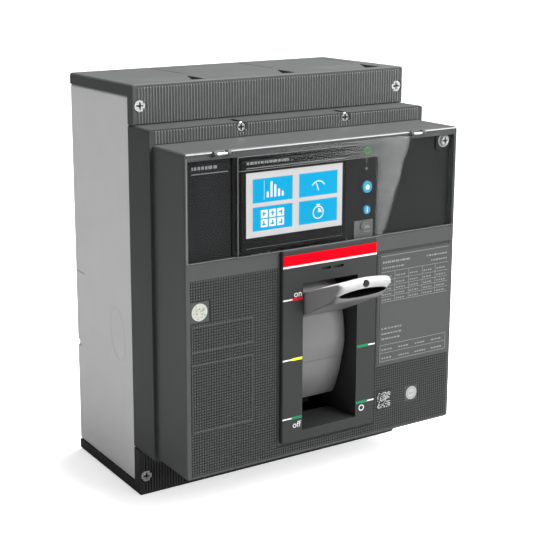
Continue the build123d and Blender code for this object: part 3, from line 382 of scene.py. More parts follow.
# The ground under the ribs: painted shade between them.
groove_shade = plastic("groove_shade", (0.055, 0.058, 0.057), 0.6, shine=0.2)
print("finishes so far:", len(bpy.data.materials))

# %% [markdown]
# Metal shows its making too. A turned or rolled surface carries fine lines in one direction, which we get by
# stretching the noise before it reaches the bump. Zinc plate is blue-white steel, and the bars are copper.

# %% Metals
LINE_SCALE, LINE_GLOSS, LINE_SHADES = 900.0, 0.08, (0.86, 1.08)


def metal(name, colour, roughness, stretch):
    """A metal with fine lines. stretch squeezes the noise along each axis."""
    finish, tree, skin = new_finish(name)
    where = shader(tree, "TexCoord").outputs["Object"]
    squeeze = shader(tree, "Mapping", {"Vector": where}, {"Scale": stretch})
    noise = {"Scale": LINE_SCALE, "Detail": 3.0}
    lines = shader(tree, "TexNoise", {"Vector": squeeze.outputs["Vector"]}, noise).outputs["Fac"]
    ramp = shader(tree, "ValToRGB", {"Fac": lines})
    for stop, factor in zip(ramp.color_ramp.elements, LINE_SHADES):
        stop.color = shade(colour, factor)
    gloss = spread(tree, lines, roughness, LINE_GLOSS)
    bump = shader(tree, "Bump", {"Height": lines}, {"Strength": 0.15, "Distance": 0.0001})
    shades = {"Base Color": ramp.outputs["Color"], "Roughness": gloss, "Normal": bump.outputs["Normal"]}
    feed(tree, skin, shades, {"Metallic": 1.0})
    return finish


zinc = metal("zinc_plate", (0.50, 0.50, 0.495), 0.38, (1.0, 1.0, 8.0))
spring_wire = metal("spring_wire", (0.36, 0.36, 0.36), 0.35, (8.0, 1.0, 1.0))
copper = metal("copper_bar", (0.80, 0.46, 0.33), 0.32, (1.0, 1.0, 0.1))
print("metals:", zinc.name, spring_wire.name, copper.name)

# %% [markdown]
# The window cover is clear polycarbonate. Real thin sheet bends light so little that a refracting shader would only
# add dark edges and noise. A mix of a see-through shader and a glossy one, weighted by Fresnel so that it mirrors
# more at a glancing angle, gives the same look for far less work. A trace of slow noise keeps the mirror alive.

# %% Clear sheet
MIRROR_SHARE, HAZE_SCALE, HAZE_ROUGHNESS, GLANCE_IOR = 0.12, 22.0, 0.01, 1.35


def clear_sheet(name):
    """Thin clear plastic: see-through face on, a mirror at a glancing angle."""
    finish, tree, mirror = new_finish(name)
    where = shader(tree, "TexCoord").outputs["Object"]
    haze = shader(tree, "TexNoise", {"Vector": where}, {"Scale": HAZE_SCALE})
    gloss = spread(tree, haze.outputs["Fac"], HAZE_ROUGHNESS, HAZE_ROUGHNESS)
    feed(tree, mirror, {"Roughness": gloss}, {"Base Color": (0.92, 0.93, 0.93, 1.0), "Metallic": 1.0})
    through = shader(tree, "BsdfTransparent", (), {"Color": (0.96, 0.965, 0.965, 1.0)})
    glance = shader(tree, "Fresnel", (), {"IOR": GLANCE_IOR})
    weaker = shader(tree, "Math", {0: glance.outputs["Fac"]}, {1: MIRROR_SHARE}, "MULTIPLY")
    share = weaker.outputs["Value"]
    mix = shader(tree, "MixShader", {"Fac": share, 1: through.outputs["BSDF"], 2: mirror.outputs["BSDF"]})
    feed(tree, tree.nodes["Material Output"], {"Surface": mix.outputs["Shader"]})
    return finish


clear = clear_sheet("clear_sheet")
print("window cover:", clear.name)

# %% [markdown]
# White paper has two jobs that fight: the camera must see it clean white, but paper that bright would throw so much
# light back that the breaker's lower and left sides lose their depth. The Light Path node tells the two apart. A
# ray from the camera meets white, glowing paper, and every other ray meets a duller sheet that doesn't glow.

# %% Paper of the sweep
PAPER_BOUNCE, PAPER_WHITE, PAPER_GLOW = 0.45, 0.92, 0.6
paper = plastic("pale_paper", (PAPER_WHITE,) * 3, 0.8, grain=0.002, relief=0.02, patches=0.01, glow=1.0)
paper_tree = paper.node_tree
seen_by_camera = shader(paper_tree, "LightPath").outputs["Is Camera Ray"]
for socket, bounced, looked_at in (("Base Color", PAPER_BOUNCE, PAPER_WHITE), ("Emission Strength", 0.0, PAPER_GLOW)):
    pick = shader(paper_tree, "MapRange", {"Value": seen_by_camera}, {"To Min": bounced, "To Max": looked_at})
    feed(paper_tree, paper_tree.nodes["Principled BSDF"], {socket: pick.outputs["Result"]})
sweep.data.materials.append(paper)
print("paper ready:", paper.name)

# %% [markdown]
# The CAD nodes keep their shape and only change their finish. A table from node to finish is easier to read and to
# check than sixty separate lines: a node that neither the table nor the name groups know gets plated steel.

# %% A finish for every CAD node
FINISHES = {
    "base_case": base_grey, "upper_terminal_cover": upper_grey, "lower_terminal_cover": lower_cover_shade,
    "mid_cover": cover_grey, "front_cover": fascia_grey, "handle_escutcheon": plate_grey,
    "red_label_strip": foil_red, "rating_label": film_grey, "matrix_label": dot_shade_and_label_dark,
    "round_sticker": film_white, "test_sticker": film_white, "clear_cover": clear,
    "left_blank_panel": panel_black, "right_blank_panel": panel_black, "trip_unit_housing": panel_black,
    "display_bezel": bezel_black, "display_screen": screen_white, "circuit_board": laminate,
    "home_button": key_blue, "info_button": key_blue, "port_cover": soft_grey, "power_led": ring_green,
    "handle": handle_grey, "handle_shield": guard_shade_grey, "auxiliary_contact_block": nylon_black,
    "shunt_release": nylon_black, "trip_actuator": nylon_black, "crossbar": thermoset,
    "crossbar_bearings": nylon_black, "trip_bar": thermoset, "main_springs": spring_wire,
    "current_sensors": nylon_black, "flexible_braids": copper,
}
GROUPS = (
    ("moving_contact", copper), ("upper_terminal_", copper), ("lower_terminal_", copper),
    ("arc_chute", thermoset),
)


def finish_for(node):
    """The finish of a node, from the table, from its name's beginning, or plated steel for the mechanism."""
    if node in FINISHES:
        return FINISHES[node]
    for start, finish in GROUPS:
        if node.startswith(start):
            return finish
    return zinc


for name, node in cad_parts.items():
    if not node.material_slots:
        node.data.materials.append(finish_for(name))
    for material_slot in node.material_slots:
        material_slot.material = finish_for(name)
print("dressed", len(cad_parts), "nodes")

# %% [markdown]
# Every piece we add starts as a flat outline that is pushed through a thickness: a rib, a printed mark, an icon.
# Two outlines cover all of them, one lying on the front and one lying on the side. The helper that finishes a
# piece recalculates its normals, hangs it on a body and gives it its finishes.

# %% Outlines with thickness
CORNER_CUT = 0.12
MARK_SUNK, MARK_PROUD = 0.05, 0.06


def printed_on(face, proud=MARK_PROUD):
    """The back and front depth of a mark on a face: it starts inside, so that no gap shows."""
    return face - MARK_SUNK, face + proud


def push_through(mesh, near, far, material):
    """A closed solid between two loops of points."""
    first = [mesh.verts.new(point) for point in near]
    second = [mesh.verts.new(point) for point in far]
    count = len(first)
    faces = [mesh.faces.new(first), mesh.faces.new(second[::-1])]
    for i in range(count):
        j = (i + 1) % count
        faces.append(mesh.faces.new((first[i], second[i], second[j], first[j])))
    for face in faces:
        face.material_index = material


def on_front(mesh, outline, back, front, material=0):
    """An outline of (x, height) points, pushed from one depth to another."""
    near = [place(x, front, z) for x, z in outline]
    far = [place(x, back, z) for x, z in outline]
    push_through(mesh, near, far, material)


def on_side(mesh, outline, left, right, material=0):
    """An outline of (depth, height) points, pushed across the breaker."""
    near, far = ([place(x, d, z) for d, z in outline] for x in (left, right))
    push_through(mesh, near, far, material)


def patch(mesh, left, right, low, high, back, front, material=0):
    """A rectangle on the front with its four corners cut off a touch."""
    cut = min(CORNER_CUT, (right - left) / 4, (high - low) / 4)
    outline = [
        (left + cut, low), (right - cut, low), (right, low + cut), (right, high - cut),
        (right - cut, high), (left + cut, high), (left, high - cut), (left, low + cut),
    ]
    on_front(mesh, outline, back, front, material)


def new_piece(name, mesh, finishes, body="case"):
    """Turns a bmesh into a piece that rides on a body."""
    bmesh.ops.recalc_face_normals(mesh, faces=mesh.faces)
    data = bpy.data.meshes.new(name)
    mesh.to_mesh(data)
    mesh.free()
    for finish in finishes:
        data.materials.append(finish)
    piece = stand(name, data)
    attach(piece, body)
    print(name, "has", len(data.polygons), "faces on", body)
    return piece


def circle(x, z, radius, steps=28, start=0.0, turn=2 * math.pi):
    """Points round a circle, or round part of one."""
    last = steps if turn >= 2 * math.pi else steps + 1
    return [
        (x + radius * math.cos(start + turn * i / steps), z + radius * math.sin(start + turn * i / steps))
        for i in range(last)
    ]


def band(mesh, x, z, outer, inner, back, front, material=0, start=0.0, turn=2 * math.pi, steps=28):
    """A ring, or a part of one, made of short blocks."""
    far = circle(x, z, outer, steps, start, turn)
    near = circle(x, z, inner, steps, start, turn)
    last = len(far) if turn >= 2 * math.pi else len(far) - 1
    for i in range(last):
        j = (i + 1) % len(far)
        on_front(mesh, [far[i], far[j], near[j], near[i]], back, front, material)


print("outline helpers ready")

# %% [markdown]
# The terminal covers and the step above the fascia carry a row of fine upright ribs, which give a grip and hide sink
# marks. Each rib is a thin ridge with a narrow flat crest, so it catches one bright line. A texture would do from
# far away, but a ridge of real faces keeps its highlight from any side. On the upper cover and the step the ribs are
# also a lighter grey than the cover, a painted highlight, and every rib stands on a strip of darker ground, painted
# shade between the ribs. Ribs stop short round the screw heads.

# %% Upright ribs
RIB_PITCH, RIB_FOOT, RIB_CREST, RIB_PROUD = 2.05, 0.95, 0.3, 0.45
RIB_SUNK, RIB_SLOPE, RIB_SHORTEST = 0.15, 0.5, 1.5
GROUND_PROUD, SCREW_ROOM = 0.03, 3.6
RIB_WIDE, MID_RIB_WIDE = 101.0, 102.0
CORNER_X, CORNER_HIGH, CORNER_LOW = 99.6, 120.7, -121.3
MID_SCREW_X, MID_SCREW_HEIGHT = 40.15, 105.8


def rib(mesh, x, low, high, face):
    """One ridge with a trapezoid section, from its foot to its crest, on its own strip of dark ground: painted shade.
    """
    patch(mesh, x - RIB_PITCH / 2, x + RIB_PITCH / 2, low, high, *printed_on(face, GROUND_PROUD), 1)
    foot, crest = RIB_FOOT / 2, RIB_CREST / 2
    section = [
        (-foot, -RIB_SUNK, 0.0), (-crest, RIB_PROUD, RIB_SLOPE),
        (crest, RIB_PROUD, RIB_SLOPE), (foot, -RIB_SUNK, 0.0),
    ]
    lower = [place(x + dx, face + d, low + s) for dx, d, s in section]
    upper = [place(x + dx, face + d, high - s) for dx, d, s in section]
    push_through(mesh, lower, upper, 0)


def rib_row(name, half_width, low, high, face, screws, finish):
    """A row of ribs, each parted where it would meet a screw head."""
    mesh = bmesh.new()
    count = int(half_width / RIB_PITCH)
    for i in range(-count, count + 1):
        x = i * RIB_PITCH
        gaps = []
        for screw_x, screw_z in screws:
            reach = SCREW_ROOM ** 2 - (x - screw_x) ** 2
            if reach > 0:
                gaps.append((screw_z - math.sqrt(reach), screw_z + math.sqrt(reach)))
        start = low
        for gap_low, gap_high in gaps:
            if gap_low - start > RIB_SHORTEST:
                rib(mesh, x, start, gap_low, face)
            start = gap_high
        if high - start > RIB_SHORTEST:
            rib(mesh, x, start, high, face)
    return new_piece(name, mesh, [finish, groove_shade])


def pair(x, z):
    """The places of two screws, left and right."""
    return [(-x, z), (x, z)]


rib_row("upper_cover_ribs", RIB_WIDE, 109.4, 132.0, LIP_FACE, pair(CORNER_X, CORNER_HIGH), rib_highlight_grey)
# The lower ribs take the darkest copy: painted shade under the fascia.
rib_row("lower_cover_ribs", RIB_WIDE, -132.0, -103.0, LIP_FACE, pair(CORNER_X, CORNER_LOW), lower_rib_shade)
rib_row("middle_cover_ribs", MID_RIB_WIDE, 99.8, 108.0, MID_FACE, pair(MID_SCREW_X, MID_SCREW_HEIGHT), rib_highlight_grey)

# %% [markdown]
# Three narrow grooves run from back to front over the upper cover, one beside each pole. Like the gaps between the
# ribs they hold shadow, so a dark strip fills each one up to a hair above the cover.

# %% Pole grooves
TOP_FACE = cad_high.z / MM
GROOVES, GROOVE_WIDE, GROOVE_DEEP = (-46.6, 23.4, 93.4), 1.2, 0.5
GROOVE_REAR, GROOVE_FRONT = 3.8, 50.2
floor_height, lid_height = TOP_FACE - GROOVE_DEEP - MARK_SUNK, TOP_FACE + GROUND_PROUD
section = [
    (GROOVE_REAR, floor_height), (GROOVE_FRONT, floor_height),
    (GROOVE_FRONT, lid_height), (GROOVE_REAR, lid_height),
]
grooves = bmesh.new()
for groove in GROOVES:
    on_side(grooves, section, groove, groove + GROOVE_WIDE)
new_piece("pole_grooves", grooves, [dark_ink_and_shade])

# %% [markdown]
# Below the window the fascia has a field of small raised squares, like a grip. They are real pyramids with a flat
# top, standing on a thin darker ground that is painted shade: the gaps of the real field hold shadow that a shallow
# model cannot. The field leaves plain islands for the labels and the handle plate, so the loop skips every dot that
# touches one.

# %% Dimpled field of the fascia
DOT_PITCH, DOT_FOOT, DOT_TOP, DOT_PROUD = 1.75, 1.25, 0.85, 0.3
FIELD = (-99.6, 100.4, -99.4, 23.2)
ISLANDS = [
    (-37.6, 37.6, -92.9, 35.0), (40.4, 101.0, -55.0, 21.5), (40.9, 52.6, -85.0, -72.3),
    (64.9, 75.3, -83.5, -73.1), (-99.6, -86.9, -2.6, 10.4),
]


def free_of_islands(x, z, room):
    """True where a point stands clear of every island by some room."""
    return not any(
        left - room < x < right + room and low - room < z < high + room
        for left, right, low, high in ISLANDS
    )


def ground_strips(left, right, low, high):
    """The ground between the islands as rectangles, cut at every island's edges."""
    xs = sorted({left, right} | {min(max(v, left), right) for box in ISLANDS for v in box[:2]})
    zs = sorted({low, high} | {min(max(v, low), high) for box in ISLANDS for v in box[2:]})
    for x0, x1 in zip(xs, xs[1:]):
        for z0, z1 in zip(zs, zs[1:]):
            if free_of_islands((x0 + x1) / 2, (z0 + z1) / 2, 0):
                yield x0, x1, z0, z1


def dot(mesh, x, z):
    """One raised square with sloping sides."""
    foot, top = DOT_FOOT / 2, DOT_TOP / 2
    corners = ((-1, -1), (1, -1), (1, 1), (-1, 1))
    near = [place(x + a * top, FASCIA_FACE + DOT_PROUD, z + b * top) for a, b in corners]
    far = [place(x + a * foot, FASCIA_FACE - MARK_SUNK, z + b * foot) for a, b in corners]
    push_through(mesh, near, far, 0)


left, right, low, high = FIELD
field = bmesh.new()
for row in range(int((high - low) / DOT_PITCH)):
    for column in range(int((right - left) / DOT_PITCH)):
        x = left + (column + 0.5) * DOT_PITCH
        z = low + (row + 0.5) * DOT_PITCH
        if free_of_islands(x, z, DOT_FOOT / 2):
            dot(field, x, z)
for x0, x1, z0, z1 in ground_strips(*FIELD):
    patch(field, x0, x1, z0, z1, *printed_on(FASCIA_FACE), 1)
new_piece("fascia_dots", field, [fascia_grey, dot_shade_and_label_dark])

# %% [markdown]
# Two knock-out areas of the field are framed by a fine raised line. A frame is four thin bars, and the same helper
# rules a table on the rating label and draws the painted highlights along the edges of the window cover.

# %% Framed areas
def framed(mesh, left, right, low, high, width, back, front, material=0):
    """Four bars round a rectangle."""
    patch(mesh, left, right, high - width, high, back, front, material)
    patch(mesh, left, right, low, low + width, back, front, material)
    patch(mesh, left, left + width, low + width, high - width, back, front, material)
    patch(mesh, right - width, right, low + width, high - width, back, front, material)


FRAME_WIDTH, FRAME_PROUD = 0.7, 0.42
frames = bmesh.new()
for low, high in ((-21.0, -4.7), (-71.5, -28.5)):
    framed(frames, -99.0, -56.0, low, high, FRAME_WIDTH, *printed_on(FASCIA_FACE, FRAME_PROUD))
new_piece("fascia_frames", frames, [fascia_grey])

# %% [markdown]
# The handle plate is marked like any breaker: white bars with a red, a yellow and a green end show where the handle
# stands when the breaker is on, tripped or off. The marks are pad printed, so they are hardly thicker than paint.
# The word on, the word off and a ring for open are general signs that every breaker carries.

# %% Marks on the handle plate
PLATE_INK = printed_on(PLATE_FACE, 0.08)
WHITE, RED, YELLOW, GREEN = 0, 1, 2, 3
THIN, THICK = 0.45, 0.85
marks = bmesh.new()
for height, colour in ((2.5, RED), (-36.3, YELLOW), (-75.0, GREEN)):
    patch(marks, -36.0, -28.9, height - THIN, height + THIN, *PLATE_INK, WHITE)
    patch(marks, -29.1, -21.3, height - THICK, height + THICK, *PLATE_INK, colour)
for height in (-36.8, -75.0):
    patch(marks, 21.3, 30.5, height - THICK, height + THICK, *PLATE_INK, GREEN)
    patch(marks, 30.3, 35.8, height - THIN, height + THIN, *PLATE_INK, WHITE)
band(marks, 25.8, -78.9, 2.1, 1.5, *PLATE_INK, WHITE)
patch(marks, -36.0, 36.0, 22.7, 23.9, *PLATE_INK, WHITE)
new_piece("plate_marks", marks, [ink_white, ink_red, ink_yellow, ink_green])


def word(text, x, z, size, face):
    """A short general word, printed: Blender's own letters turned into a thin mesh."""
    curve = bpy.data.curves.new("word", "FONT")
    curve.body = text
    curve.size = size * MM
    curve.extrude = MARK_SUNK * MM
    curve.resolution_u = 4
    letters = stand("word", curve)
    bpy.context.view_layer.update()
    mesh = bmesh.new()
    flat = letters.evaluated_get(bpy.context.evaluated_depsgraph_get()).to_mesh()
    mesh.from_mesh(flat)
    bpy.data.objects.remove(letters)
    bpy.data.curves.remove(curve)
    for vertex in mesh.verts:
        across, up, out = vertex.co
        vertex.co = place(x, face, z) + Vector((across, -out, up))
    return mesh


WORD_FACE = PLATE_FACE + 0.04
new_piece("word_on", word("on", -28.0, 3.9, 5.9, WORD_FACE), [ink_white])
new_piece("word_off", word("off", -28.3, -81.6, 5.8, WORD_FACE), [ink_white])

# %% [markdown]
# The screen of the trip unit shows four tiles. Each is a coloured field with a simple picture cut from flat shapes:
# a bar graph, a gauge, a page of small signs and a stopwatch. They are stacked a few hundredths of a millimetre
# apart on the lit screen, so that no two faces share a place.

# %% Screen picture
TILE_DEPTHS = (SCREEN_FACE - 0.02, SCREEN_FACE + 0.05)
SIGN_FRONT = SCREEN_FACE + 0.10
SIGN_DEPTHS = (SCREEN_FACE + 0.03, SIGN_FRONT)
TILES = [(-56.6, 65.6), (-23.1, 65.6), (-56.6, 48.4), (-23.1, 48.4)]
TILE_WIDE, TILE_HIGH = 28.7, 14.6
WHITE, BLUE, BLACK = 0, 1, 2


def bar_graph(mesh, x, z):
    """Five bars beside a dotted scale."""
    for i, tall in enumerate((3.6, 9.6, 7.4, 4.6, 3.0)):
        left = x - 4.4 + i * 2.7
        patch(mesh, left, left + 1.4, z - 4.6, z - 4.6 + tall, *SIGN_DEPTHS, WHITE)
    for i in range(10):
        patch(mesh, x - 6.4, x - 5.9, z - 5.6 + i * 1.2, z - 5.1 + i * 1.2, *SIGN_DEPTHS, WHITE)


def gauge(mesh, x, z):
    """A dial with its pointer."""
    band(mesh, x, z - 3.6, 5.6, 5.0, *SIGN_DEPTHS, WHITE, math.radians(32), math.radians(116), 14)
    pointer = [(x - 0.3, z - 3.9), (x + 0.5, z - 4.2), (x - 1.4, z + 0.7), (x - 1.9, z + 0.5)]
    on_front(mesh, pointer, *SIGN_DEPTHS, WHITE)


def sign_page(mesh, x, z):
    """Six white squares, each with a blue bar and a blue post of its own."""
    back = SIGN_FRONT - 0.02
    for column in range(3):
        for row in range(2):
            left, low = x - 8.6 + column * 5.9, z - 5.4 + row * 5.7
            post = left + 1.6 + column / 2
            patch(mesh, left, left + 4.9, low, low + 4.9, *SIGN_DEPTHS, WHITE)
            patch(mesh, left + 1.1, left + 3.8, low + 1.3 + row, low + 2.1 + row, back, SIGN_FRONT + 0.04, BLUE)
            patch(mesh, post, left + 2.6 + column / 2, low + 1.0, low + 3.8, back, SIGN_FRONT + 0.03, BLUE)


def stopwatch(mesh, x, z):
    """A ring with a button on top and a quarter of it run down."""
    band(mesh, x, z - 0.8, 4.1, 3.5, *SIGN_DEPTHS, WHITE)
    patch(mesh, x - 1.4, x + 1.4, z + 3.7, z + 4.4, *SIGN_DEPTHS, WHITE)
    quarter = [(x, z - 0.8)] + circle(x, z - 0.8, 2.5, 8, 0.0, math.pi / 2)
    on_front(mesh, quarter, *SIGN_DEPTHS, WHITE)


picture = bmesh.new()
for (tile_left, tile_low), sign in zip(TILES, (bar_graph, gauge, sign_page, stopwatch)):
    patch(picture, tile_left, tile_left + TILE_WIDE, tile_low, tile_low + TILE_HIGH, *TILE_DEPTHS, BLUE)
    sign(picture, tile_left + TILE_WIDE / 2, tile_low + TILE_HIGH / 2)
patch(picture, -61.3, 9.5, 38.2, 44.6, *TILE_DEPTHS, BLACK)
new_piece("screen_picture", picture, [screen_mark, screen_blue, bezel_black])

# %% [markdown]
# The housing carries a title line above the screen, and the left panel has one too. A title on a real unit names
# its maker, so here it is a row of plain dashes: it keeps the rhythm of print and says nothing.
# The dashes come from a seeded generator, so each run draws the same ones.

# %% Greeked print on the housing and panels
SHORTEST_DASH, LONGEST_DASH, DASH_GAPS, DASH_ROOM = 0.9, 2.6, (0.45, 0.9), 0.6


def dashes(mesh, left, right, z, tall, depths, dice, longest=LONGEST_DASH, material=0):
    """A row of short plain bars with small gaps."""
    x = left
    while x < right - DASH_ROOM:
        long = min(dice.uniform(SHORTEST_DASH, longest), right - x)
        patch(mesh, x, x + long, z, z + tall, *depths, material)
        x += long + dice.uniform(*DASH_GAPS)


dice = random.Random(11)
title = bmesh.new()
dashes(title, -61.0, -30.0, 89.3, 1.6, printed_on(BEZEL_FACE), dice)
patch(title, -61.3, 12.4, 86.9, 87.4, *printed_on(BEZEL_FACE))
new_piece("screen_title", title, [ink_light])
panel_print = bmesh.new()
dashes(panel_print, -95.4, -77.8, 88.4, 1.9, printed_on(PANEL_FACE), dice)
patch(panel_print, -95.6, -70.6, 85.7, 86.2, *printed_on(PANEL_FACE))
new_piece("panel_print", panel_print, [ink_light])

# %% [markdown]
# Two keys wake the screen and ask for help. Their signs, a little house and a dot over a bar, sit on the keys
# and must ride with them when they are pressed.

# %% Signs on the keys
WALL_PROUD = 0.05


def centre_of(node):
    """The depth of a node's front face, and the middle of that face."""
    face, low, high = node_face(node)
    return face, (low[0] + high[0]) / 2, (low[1] + high[1]) / 2


face, x, z = centre_of("home_button")
house = bmesh.new()
on_front(house, [(x - 2.0, z), (x + 2.0, z), (x, z + 1.9)], *printed_on(face))
patch(house, x - 1.35, x + 1.35, z - 1.6, z + 0.1, *printed_on(face, WALL_PROUD))
new_piece("home_sign", house, [ink_white], "home_key")
face, x, z = centre_of("info_button")
letter = bmesh.new()
patch(letter, x - 0.4, x + 0.4, z - 1.5, z + 0.5, *printed_on(face))
on_front(letter, circle(x, z + 1.3, 0.5, 12), *printed_on(face))
new_piece("info_sign", letter, [ink_white], "info_key")

# %% [markdown]
# The rating label is a grey film with rows of fine print and a ruled table. Again the print is greeked. The square
# code below it is a patch of small squares thrown by the seeded dice, so it carries no data.

# %% Rating label and code patch
LABEL_INK = printed_on(node_face("rating_label")[0])
LABEL_LEFT, LABEL_RIGHT, TEXT_LEFT, TEXT_RIGHT, RULE = 42.4, 98.4, 43.5, 97.5, 0.3
TITLE_ROWS = (
    (TEXT_LEFT, 66.0, 14.6, 1.3, 3.0), (80.0, TEXT_RIGHT, 14.6, 1.0, LONGEST_DASH),
    (TEXT_LEFT, 62.0, 11.0, 1.0, LONGEST_DASH), (84.0, TEXT_RIGHT, 11.0, 1.0, LONGEST_DASH),
)
TABLE_RULES, TABLE_POSTS = (8.6, 3.2, -0.8, -4.4, -8.0, -11.6), (53.5, 65.0, 76.5, 87.5)
TABLE_ROWS, TABLE_COLUMNS = (5.0, 0.6, -3.2, -6.8, -10.4), (43.2, 54.6, 66.0, 77.6, 88.8)
NOTE_ROWS, BOX_ROWS, BOX_COLUMNS = (-30.0, -33.5, -37.0), (-44.4, -50.2), (44.0, 58.0, 72.0, 86.0)

rating = bmesh.new()
patch(rating, 42.2, 98.6, 19.2, 19.6, *LABEL_INK)
for left, right, row, tall, longest in TITLE_ROWS:
    dashes(rating, left, right, row, tall, LABEL_INK, dice, longest)
for rule in TABLE_RULES:
    patch(rating, LABEL_LEFT, LABEL_RIGHT, rule, rule + RULE, *LABEL_INK)
for post in TABLE_POSTS:
    patch(rating, post, post + RULE, -11.4, 8.6, *LABEL_INK)
for row in TABLE_ROWS:
    for column in TABLE_COLUMNS:
        dashes(rating, column, column + 7.5, row, 0.9, LABEL_INK, dice, 1.8)
for row in NOTE_ROWS:
    dashes(rating, TEXT_LEFT, 60.0, row, 1.0, LABEL_INK, dice)
framed(rating, LABEL_LEFT, LABEL_RIGHT, -52.0, -40.5, 0.35, *LABEL_INK)
patch(rating, 42.6, 98.2, -46.3, -46.0, *LABEL_INK)
for row in BOX_ROWS:
    for column in BOX_COLUMNS:
        dashes(rating, column, column + 9.0, row, 1.0, LABEL_INK, dice, 2.0)
new_piece("rating_print", rating, [ink_light])

CODE_INK = printed_on(node_face("matrix_label")[0], 0.05)
CODE_LEFT, CODE_LOW, CELLS, CELL = 41.4, -84.2, 15, 0.72
code = bmesh.new()
for row in range(CELLS):
    for column in range(CELLS):
        if dice.random() < 0.5:
            cell_x, cell_z = CODE_LEFT + column * CELL, CODE_LOW + row * CELL
            patch(code, cell_x, cell_x + CELL, cell_z, cell_z + CELL, *CODE_INK)
new_piece("code_patch", code, [film_white])

# %% [markdown]
# Two round stickers finish the fascia. The large one shimmers in pale colours, which thin spots of four tints
# suggest: the dice throw them evenly over the disc, so the distance from the middle is the root of a throw. Each
# spot stands a micrometre above the one before it, so that no two share a place.

# %% Stickers
STICKER_X, STICKER_HEIGHT, STICKER_RADIUS, SPOTS, SPOT_REACH = -93.4, 3.9, 5.4, 34, 4.3
SEAL_X, SEAL_HEIGHT, SEAL_RADIUS = 70.1, -78.3, 4.5
TINTS = (
    ("pink", (188, 104, 98)), ("mint", (104, 170, 132)), ("straw", (176, 168, 100)), ("pearl", (168, 172, 170)),
)
PEARL, GROUND = 3, 4
ROUND_FACE = node_face("round_sticker")[0]
sticker = bmesh.new()
on_front(sticker, circle(STICKER_X, STICKER_HEIGHT, STICKER_RADIUS, 40), FASCIA_FACE - MARK_SUNK, ROUND_FACE, PEARL)
patch(sticker, -99.4, -87.2, -2.4, 10.2, *printed_on(FASCIA_FACE), GROUND)
for i in range(SPOTS):
    angle = dice.uniform(0, 2 * math.pi)
    away = SPOT_REACH * math.sqrt(dice.random())
    spot_x, spot_z = STICKER_X + away * math.cos(angle), STICKER_HEIGHT + away * math.sin(angle)
    spot = circle(spot_x, spot_z, dice.uniform(0.3, 0.75), 8)
    on_front(sticker, spot, ROUND_FACE - MARK_SUNK, ROUND_FACE + 0.05 + i * 0.001, i % len(TINTS))
tints = [ink("tint_" + tint, chart(*numbers), 0.4) for tint, numbers in TINTS]
tints.append(fascia_grey)
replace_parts(new_piece("sticker_spots", sticker, tints), "round_sticker")
SEAL_INK = (ROUND_FACE - 0.02, ROUND_FACE + 0.05)
seal = bmesh.new()
on_front(seal, circle(SEAL_X, SEAL_HEIGHT, SEAL_RADIUS, 36), FASCIA_FACE - MARK_SUNK, ROUND_FACE)
band(seal, SEAL_X, SEAL_HEIGHT, 3.6, 3.2, *SEAL_INK, 1)
dashes(seal, 68.0, 72.4, -78.8, 0.9, SEAL_INK, dice, 1.4, 1)
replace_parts(new_piece("test_seal", seal, [film_white, ink_light]), "test_sticker")

# %% [markdown]
# The handle is the piece that everybody touches, so it gets a mesh of its own. It has a curved guard that closes
# the opening, a wedge-shaped lever that grows out of it, and a bar across the end. They are one plastic in lit and
# shaded copies: the bar's front and top are a much lighter grey, a painted highlight; the guard and the lever's
# underside a darker grey, painted shade; the hollow under the bar and the guard above the lever near-black,
# painted shadow. The guard is a curved outline pushed across the breaker. The lever's end is hollow underneath, so
# it is lofted instead: one outline is worked out at each of many stations across it, and the skin joins them.

# %% Handle
PIVOT_DEPTH, PIVOT_HEIGHT = 63.0, -34.0
GUARD_OUTER, GUARD_INNER, GUARD_HALF_WIDTH = 80.3, 78.9, 19.3
GUARD_ANGLES = (-8.5, 46.0)
STEP_ANGLES, STEP_PROUD = (11.9, 15.2), 0.35
SHADE_ANGLE, TAPER_ANGLE, THINNEST = 27.0, -1.0, 0.1
CORE_INNER, CORE_ANGLES, CORE_HALF_WIDTH = 66.0, (13.0, 25.0), 11.0
LEVER_HALF_WIDTH, MOUTH_HALF_WIDTH, MOUTH_MIDDLE = 19.0, 17.6, (186.9, 10.6)
LEVER_STATIONS = (0.0, 0.2, 0.4, 0.58, 0.72, 0.82, 0.88, 0.92, 0.95, 0.975, 0.99, 1.0)
CORNER_START, CORNER_INSET = 0.86, 2.4
# Slot 1 is a painted highlight on the bar, slot 2 painted shade on the guard and the lever's underside, slot 3
# near-black painted shadow.
GREY, LIT_BAR, SHADE_GREY, SHADOW = 0, 1, 2, 3
EDGE_FINISHES = [SHADE_GREY] * 6 + [SHADOW] * 2 + [LIT_BAR] * 5 + [GREY] * 4


def arc_point(radius, angle):
    """A (depth, height) point at a radius and an angle in degrees from the pivot."""
    turn = math.radians(angle)
    return PIVOT_DEPTH + radius * math.cos(turn), PIVOT_HEIGHT + radius * math.sin(turn)


def feathered(radius, inner, angle):
    """The outer radius of the guard, which thins to nearly nothing below the taper angle."""
    share = max(0.0, (TAPER_ANGLE - angle) / (TAPER_ANGLE - GUARD_ANGLES[0]))
    return radius - (radius - inner - THINNEST) * share


def curved_shell(mesh, inner, outer, angles, half_width, steps, material):
    """A thin curved wall round the pivot."""
    turns = [angles[0] + (angles[1] - angles[0]) * i / steps for i in range(steps + 1)]
    outline = [arc_point(feathered(outer, inner, a), a) for a in turns]
    outline += [arc_point(inner, a) for a in reversed(turns)]
    on_side(mesh, outline, -half_width, half_width, material)


